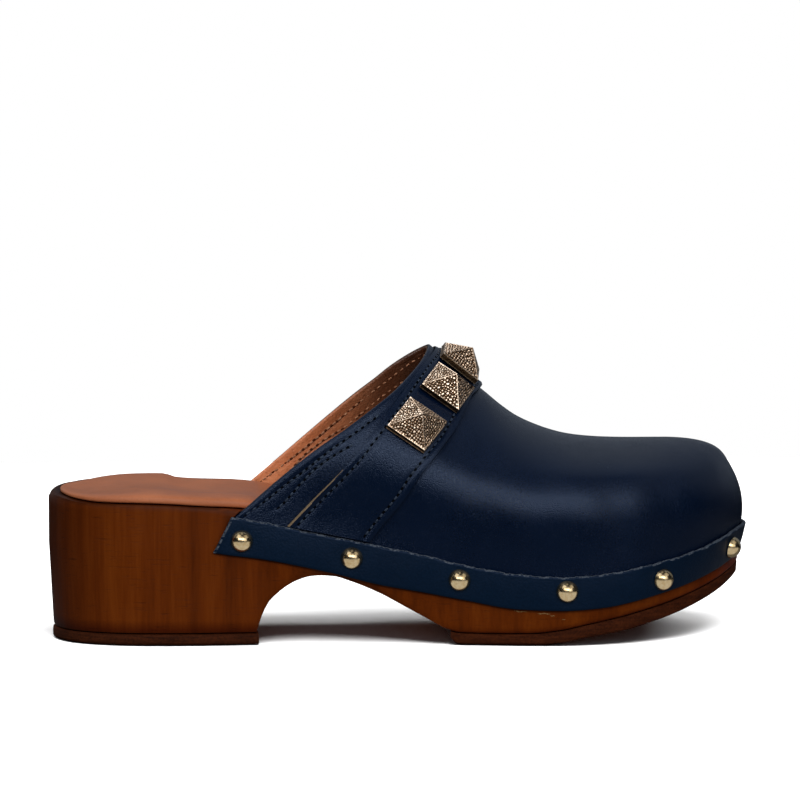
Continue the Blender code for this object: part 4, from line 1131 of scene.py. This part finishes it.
# ------------------------------------------------------------ nails and studs
def build_nails():
    r0 = (NAIL_RADIUS**2 + NAIL_HEIGHT**2) / (2 * NAIL_HEIGHT)
    a1 = math.asin(min(1, NAIL_RADIUS / r0))
    dome = [(r0 * math.sin(a), NAIL_HEIGHT - r0 * (1 - math.cos(a))) for a in np.linspace(0, a1, 14)]
    profile_rz = dome + [(NAIL_RADIUS + .05, -.12), (NAIL_RADIUS - .15, -.32), (0.0, -.32)]
    turns = np.linspace(0, 2 * math.pi, 41)[:-1]
    counts = {-1: 0, 1: 0}
    for x, side, rise, p, n in NAIL_SPOTS:
        counts[side] += 1
        axes, origin = matrix_on(p, n, (0, 0, 1))
        local = np.array([[(r * math.cos(a), r * math.sin(a), z) for a in turns] for r, z in profile_rz])
        pts = local.reshape(-1, 3) @ axes.T + origin
        co, _, fs, _, _ = weld(pts, grid_faces(len(profile_rz), len(turns), ring=True), closed=True)
        word = 'outer' if side < 0 else 'inner'
        add_piece('brass_nail_%s_%d' % (word, counts[side]), co, fs, (BRASS,), None, 50, ('nail_%s_%d' % (word, counts[side]),))


def grain_field(u, v, seed, cell=.98):
    """Raised grains: 1 on top of a grain, 0 in the hollows between."""
    r = np.random.default_rng(seed)
    size = 40
    jx, jy = r.uniform(-.34, .34, (size, size)), r.uniform(-.34, .34, (size, size))
    weight = r.uniform(.82, 1.25, (size, size))
    gu, gv = u / cell + 10, v / cell + 10
    iu, iv = np.floor(gu).astype(int), np.floor(gv).astype(int)
    best = np.full(u.shape, 9.0)
    second = np.full(u.shape, 9.0)
    for du in (-1, 0, 1):
        for dv in (-1, 0, 1):
            a, b = np.clip(iu + du, 0, size - 1), np.clip(iv + dv, 0, size - 1)
            d = np.hypot(gu - (a + .5 + jx[a, b]), gv - (b + .5 + jy[a, b])) * weight[a, b]
            second = np.where(d < best, best, np.minimum(second, d))
            best = np.minimum(best, d)
    return np.clip((second - best) * 2.3 - .22, 0, 1)


def build_studs():
    half, base_z, peak = STUD_SIDE / 2, STUD_PLATE, STUD_HEIGHT
    res = 44
    for i, (x, side, t, slew) in enumerate(zip(STUDS['x'], STUDS['side'], STUDS['share'], STUDS['slew']), 1):
        p, n = frame_at(x, side, t)
        axes, origin = matrix_on(p + (GAP + .05 + OVERLAY + GAP + .25) * n, n, (ACROSS['x'], side * slew, ACROSS['z']))
        verts, faces, grain, which = [], [], [], []
        for q in range(4):
            # one facet: a from rim to peak, b along the rim
            a, b = np.meshgrid(np.linspace(0, 1, res), np.linspace(-1, 1, 2 * res - 1), indexing='ij')
            flat_u, flat_v = half * (1 - a), half * b * (1 - a)
            z = base_z + (peak - base_z) * a
            along = flat_v
            up = np.hypot(half, peak - base_z) * a
            g = grain_field(along + 8, up, 100 * i + q)
            rim = np.minimum(up, (half * (1 - a) - np.abs(flat_v)) * 1.0 + 0)
            smooth = np.clip((np.minimum(up, (1 - np.abs(b)) * half * (1 - a)) - .10) / .24, 0, 1)
            g = g * smooth + .86 * (1 - smooth)
            tilt = math.atan2(peak - base_z, half)
            push = .32 * (g - 1.0) * smooth
            lx = flat_u + push * math.sin(tilt)
            lz = z + push * math.cos(tilt)
            c, s = math.cos(q * math.pi / 2), math.sin(q * math.pi / 2)
            pts = np.stack([c * lx - s * flat_v, s * lx + c * flat_v, lz], -1)
            start = sum(len(v) for v in verts)
            verts.append(pts.reshape(-1, 3))
            grain.append(g.ravel())
            fs = grid_faces(*pts.shape[:2], start=start)
            faces += list(map(tuple, fs))
            which += [0] * len(fs)
        # the plate's upright rim, its pale lower lip and its underside
        corners = [(1, -1), (1, 1), (-1, 1), (-1, -1)]
        prof = ((half, base_z), (half + .02, base_z - .18), (half - .05, .42), (half + .10, .34), (half + .10, .04), (half - .2, 0.0))
        start = sum(len(v) for v in verts)
        rim_pts = np.array([[(w * cx, w * cy, z) for cx, cy in corners] for w, z in prof])
        verts.append(rim_pts.reshape(-1, 3))
        grain.append(np.full(rim_pts.shape[0] * 4, .9))
        for r in range(len(prof) - 1):
            for j in range(4):
                k = (j + 1) % 4
                faces.append((start + r * 4 + j, start + r * 4 + k, start + (r + 1) * 4 + k, start + (r + 1) * 4 + j))
                which.append(2 if r in (0, 3, 4) else 1)
        faces.append(tuple(start + (len(prof) - 1) * 4 + j for j in range(4)))
        which.append(1)
        pts = np.concatenate(verts) @ axes.T + origin
        add_piece('hammered_stud_%d' % i, pts, faces, (GOLD, BRONZE, GOLD_LINE), which, 32, ('stud_%d' % i,),
                  {'grain': np.concatenate(grain)})


# ------------------------------------------------------------------- stitches
def stitches(path, normal, lift, pitch=STITCH['pitch'], length=STITCH['length'], radius=STITCH['radius']):
    """Threads and needle holes along a path; each hole is a flat dark disc, painted shade for the hole's recess."""
    run = np.concatenate([[0], np.cumsum(np.linalg.norm(np.diff(path, axis=0), axis=1))])
    spots = np.arange(pitch * .6, run[-1] - pitch * .4, pitch)
    threads, holes = [], []
    along = np.linspace(-1, 1, 9)
    turns = np.linspace(0, 2 * math.pi, 9)[:-1]

    def at(s, table):
        return np.array([np.interp(s, run, table[:, k]) for k in range(3)])

    for s in spots:
        c, n = at(s, path), at(s, normal)
        n /= np.linalg.norm(n)
        d = at(min(s + .5, run[-1]), path) - at(max(s - .5, 0), path)
        d /= np.linalg.norm(d)
        b = np.cross(n, d)
        wob = RNG.normal(scale=.05)
        d = d + b * wob
        ring = []
        for a in along:
            r = radius * math.sqrt(max(1 - a**4, .02))
            dip = -.30 * abs(a)**3
            mid = c + d * (a * length / 2) + n * (lift + dip)
            ring.append([mid + b * (r * math.cos(q)) + n * (r * .8 * math.sin(q)) for q in turns])
        threads.append(np.array(ring))
        # painted shade: a flat dark disc on the surface stands for each needle hole
        for e in (-1,):
            mid = c + d * (e * pitch / 2) + n * (lift - .02)
            rr = radius * 1.35
            ring = [[mid + d * (1.75 * rr * f * math.cos(q)) + b * (rr * f * math.sin(q)) + n * (.12 * (1 - f)) for q in turns] for f in (1.0, .6, .05)]
            holes.append(np.array(ring))
    return threads, holes


def join(parts):
    verts, faces, start = [], [], 0
    for ring in parts:
        rows, cols = ring.shape[:2]
        verts.append(ring.reshape(-1, 3))
        faces += list(map(tuple, grid_faces(rows, cols, ring=True, start=start)))
        faces.append(tuple(start + j for j in range(cols))[::-1])
        faces.append(tuple(start + (rows - 1) * cols + j for j in range(cols)))
        start += rows * cols
    return np.concatenate(verts), faces


def build_stitches():
    quarter, quarter_holes, lining, lining_holes = [], [], [], []
    for side in (-1, 1):
        for row, z_lo, z_hi in ((ROW_A, 45.5, 82.6), (ROW_B, 49.0, 72.2)):
            t = np.linspace(.02, .62, 260)
            p, n = girth(row_line(row, side), side, t)
            keep = (p[:, 2] > z_lo) & (p[:, 2] < z_hi)
            a, b = stitches(p[keep], n[keep], -.10)
            quarter += a
            quarter_holes += b
            full = np.linspace(.06, .97, 360)
            p, n = girth(row_line(row, side), side, full)
            keep = (p[:, 2] > z_lo + 5) & (p[:, 2] < (103 if row is ROW_A else 100))
            a, b = stitches(p[keep], -n[keep], UPPER_WALL - .05, radius=.36)
            lining += a
            lining_holes += b
    v, f = join(quarter)
    add_piece('quarter_stitches', v, f, (THREAD_WITH_PAINTED_GLINT,))
    v, f = join(quarter_holes)
    add_piece('quarter_needle_hole_shade', v, f, (HOLE_PAINTED_SHADE,))
    v, f = join(lining)
    add_piece('lining_stitches', v, f, (TAN_THREAD,))
    v, f = join(lining_holes)
    add_piece('lining_needle_hole_shade', v, f, (TAN_HOLE_PAINTED_SHADE,))
    strap, holes = [], []
    for line in (shifted(strap_back, STRAP_SEAM['back']), shifted(strap_front, -STRAP_SEAM['front'])):
        t = np.linspace(.02, 1, 320)
        lat, med = girth(line, -1, t), girth(line, 1, t)
        p = np.concatenate([lat[0], med[0][::-1][1:]])
        n = np.concatenate([lat[1], med[1][::-1][1:]])
        if line(60) < 110:
            rise = strap_edge_height(np.concatenate([t, t[::-1][1:]]))
            soft = np.clip(STRAP_SEAM['back'] * .66 / 3.2, 0, 1)
            h = OVERLAY * (rise + (1 - rise) * soft * soft * (3 - 2 * soft)) - .26
        else:
            h = np.full(len(p), OVERLAY - .26)
        p = p + n * (GAP + .05 + h)[:, None]
        a, b = stitches(p, n, .10)
        strap += a
        holes += b
    v, f = join(strap)
    add_piece('strap_stitches', v, f, (THREAD_WITH_PAINTED_GLINT,))
    v, f = join(holes)
    add_piece('strap_needle_hole_shade', v, f, (HOLE_PAINTED_SHADE,))


build_upper()
build_strap()
build_rand()
build_wood()
build_scuffs()
build_insole()
build_outsole()
build_lift()
build_nails()
build_studs()
build_stitches()


# --------------------------------------------------------- floor, light, world
PALE_FLOOR = Net('pale_floor').finish(colour=(.90, .90, .90), rough=.9, spec=.0)


def build_stage():
    """White floor that throws no glare on the shoe's sides."""
    mesh = bpy.data.meshes.new('floor')
    mesh.from_pydata([(-2.4, -1.2, -.0004), (2.4, -1.2, -.0004), (2.4, .62, -.0004), (-2.4, .62, -.0004)], [], [(0, 1, 2, 3)])
    floor = bpy.data.objects.new('floor', mesh)
    bpy.context.scene.collection.objects.link(floor)
    mesh.materials.append(PALE_FLOOR)
    floor.visible_glossy = floor.visible_diffuse = False
    return floor


def area(name, at, aim, size, glow, only=None, colour=(1, 1, 1)):
    """A soft box by its brightness, lighting everything or only some objects."""
    light = bpy.data.lights.new(name, 'AREA')
    light.shape, light.size, light.size_y = 'RECTANGLE', size[0], size[1]
    light.energy, light.color = glow * math.pi * size[0] * size[1], colour
    obj = bpy.data.objects.new(name, light)
    bpy.context.scene.collection.objects.link(obj)
    obj.location = at
    obj.rotation_euler = (Vector(aim) - Vector(at)).to_track_quat('-Z', 'Y').to_euler()
    obj.visible_camera = False
    if only is not None:
        group = bpy.data.collections.new(name + '_lights')
        for item in only:
            group.objects.link(item)
        obj.light_linking.receiver_collection = group
    return obj


def soft_box(name, turn, rise, wide, high, glow, only, colour=(1, 1, 1)):
    """A soft box 1.6 m from the shoe: turn from the front to the toe side, rise and spans in degrees."""
    a, e = math.radians(turn), math.radians(rise)
    way = Vector((math.sin(a) * math.cos(e), -math.cos(a) * math.cos(e), math.sin(e)))
    size = (3.2 * math.tan(math.radians(wide / 2)) * max(math.cos(e), .3), 3.2 * math.tan(math.radians(high / 2)))
    return area(name, Vector((0, 0, .05)) + 1.6 * way, (0, 0, .05), size, glow, only, colour)


def build_light(floor):
    shoe = [o for o in bpy.context.scene.objects if o.type == 'MESH' and o is not floor]
    nails = [o for o in shoe if o.name.startswith('brass_nail')]
    studs = [o for o in shoe if o.name.startswith('hammered_stud')]
    inside = [o for o in shoe if o.name.startswith(('upper_lining', 'lining_'))]
    cool = (.76, .86, 1.0)
    soft_box('left_high', -48, 48, 48, 34, 1.05, shoe)
    soft_box('front_left', -20, 25, 40, 15, 3.3, shoe)
    soft_box('front_right', 9, 22, 22, 20, 3.0, shoe)
    soft_box('front_step', 25, 21, 10, 20, 2.0, shoe)
    soft_box('front_toe', 40, 19, 20, 26, 1.1, shoe)
    soft_box('front_low', 26, 8, 26, 12, .5, shoe)
    soft_box('front_high', 0, 40, 48, 16, .65, shoe)
    soft_box('right_high', 58, 44, 44, 30, .55, shoe)
    soft_box('back_high_a', 145, 62, 80, 25, .34, shoe, cool)
    soft_box('back_high_b', 225, 62, 80, 25, .50, shoe, cool)
    soft_box('back_low_a', 145, 27, 80, 50, .21, shoe, cool)
    soft_box('back_low_b', 225, 27, 80, 50, .30, shoe)
    soft_box('top', 0, 86, 50, 30, .34, shoe)
    soft_box('stud_back', 208, 52, 60, 44, 1.8, studs)
    soft_box('stud_front', -12, 8, 30, 16, 1.2, studs)
    soft_box('lining_fill', -50, 40, 50, 40, 3.4, inside)
    area('floor_bounce', (0, -.03, .0006), (0, -.03, 1), (.6, .26), .12, shoe)
    area('nail_bounce', (0, -.22, .0004), (0, -.22, 1), (.8, .40), .45, nails)
    wash = bpy.data.lights.new('floor_wash', 'SUN')
    wash.energy, wash.angle = 5.4, math.radians(40)
    obj = bpy.data.objects.new('floor_wash', wash)
    bpy.context.scene.collection.objects.link(obj)
    obj.rotation_euler = (math.radians(33), 0, math.radians(4))
    group = bpy.data.collections.new('floor_wash_lights')
    group.objects.link(floor)
    obj.light_linking.receiver_collection = group
    soft_box('floor_fill', 0, 80, 120, 90, .10, [floor])
    soft_box('floor_side', 90, 46, 50, 36, 6.0, [floor])
    soft_box('floor_left', -90, 46, 50, 36, 2.4, [floor])
    soft_box('floor_front', 0, 14, 60, 16, 1.2, [floor], (.93, .92, 1.0))
    scene = bpy.context.scene
    scene.world = bpy.data.worlds.new('studio')
    scene.world.use_nodes = True
    t = scene.world.node_tree
    dim = t.nodes['Background']
    dim.inputs['Color'].default_value = (.85, .92, 1.0, 1)
    dim.inputs['Strength'].default_value = .01
    white = t.nodes.new('ShaderNodeBackground')
    white.inputs['Color'].default_value = (1, 1, 1, 1)
    white.inputs['Strength'].default_value = 1.0
    pick = t.nodes.new('ShaderNodeMixShader')
    path = t.nodes.new('ShaderNodeLightPath')
    t.links.new(path.outputs['Is Camera Ray'], pick.inputs['Fac'])
    t.links.new(dim.outputs['Background'], pick.inputs[1])
    t.links.new(white.outputs['Background'], pick.inputs[2])
    t.links.new(pick.outputs['Shader'], t.nodes['World Output'].inputs['Surface'])
    scene.view_settings.view_transform = 'Standard'
    scene.view_settings.look = 'None'
    scene.view_settings.exposure = 0.0


build_light(build_stage())
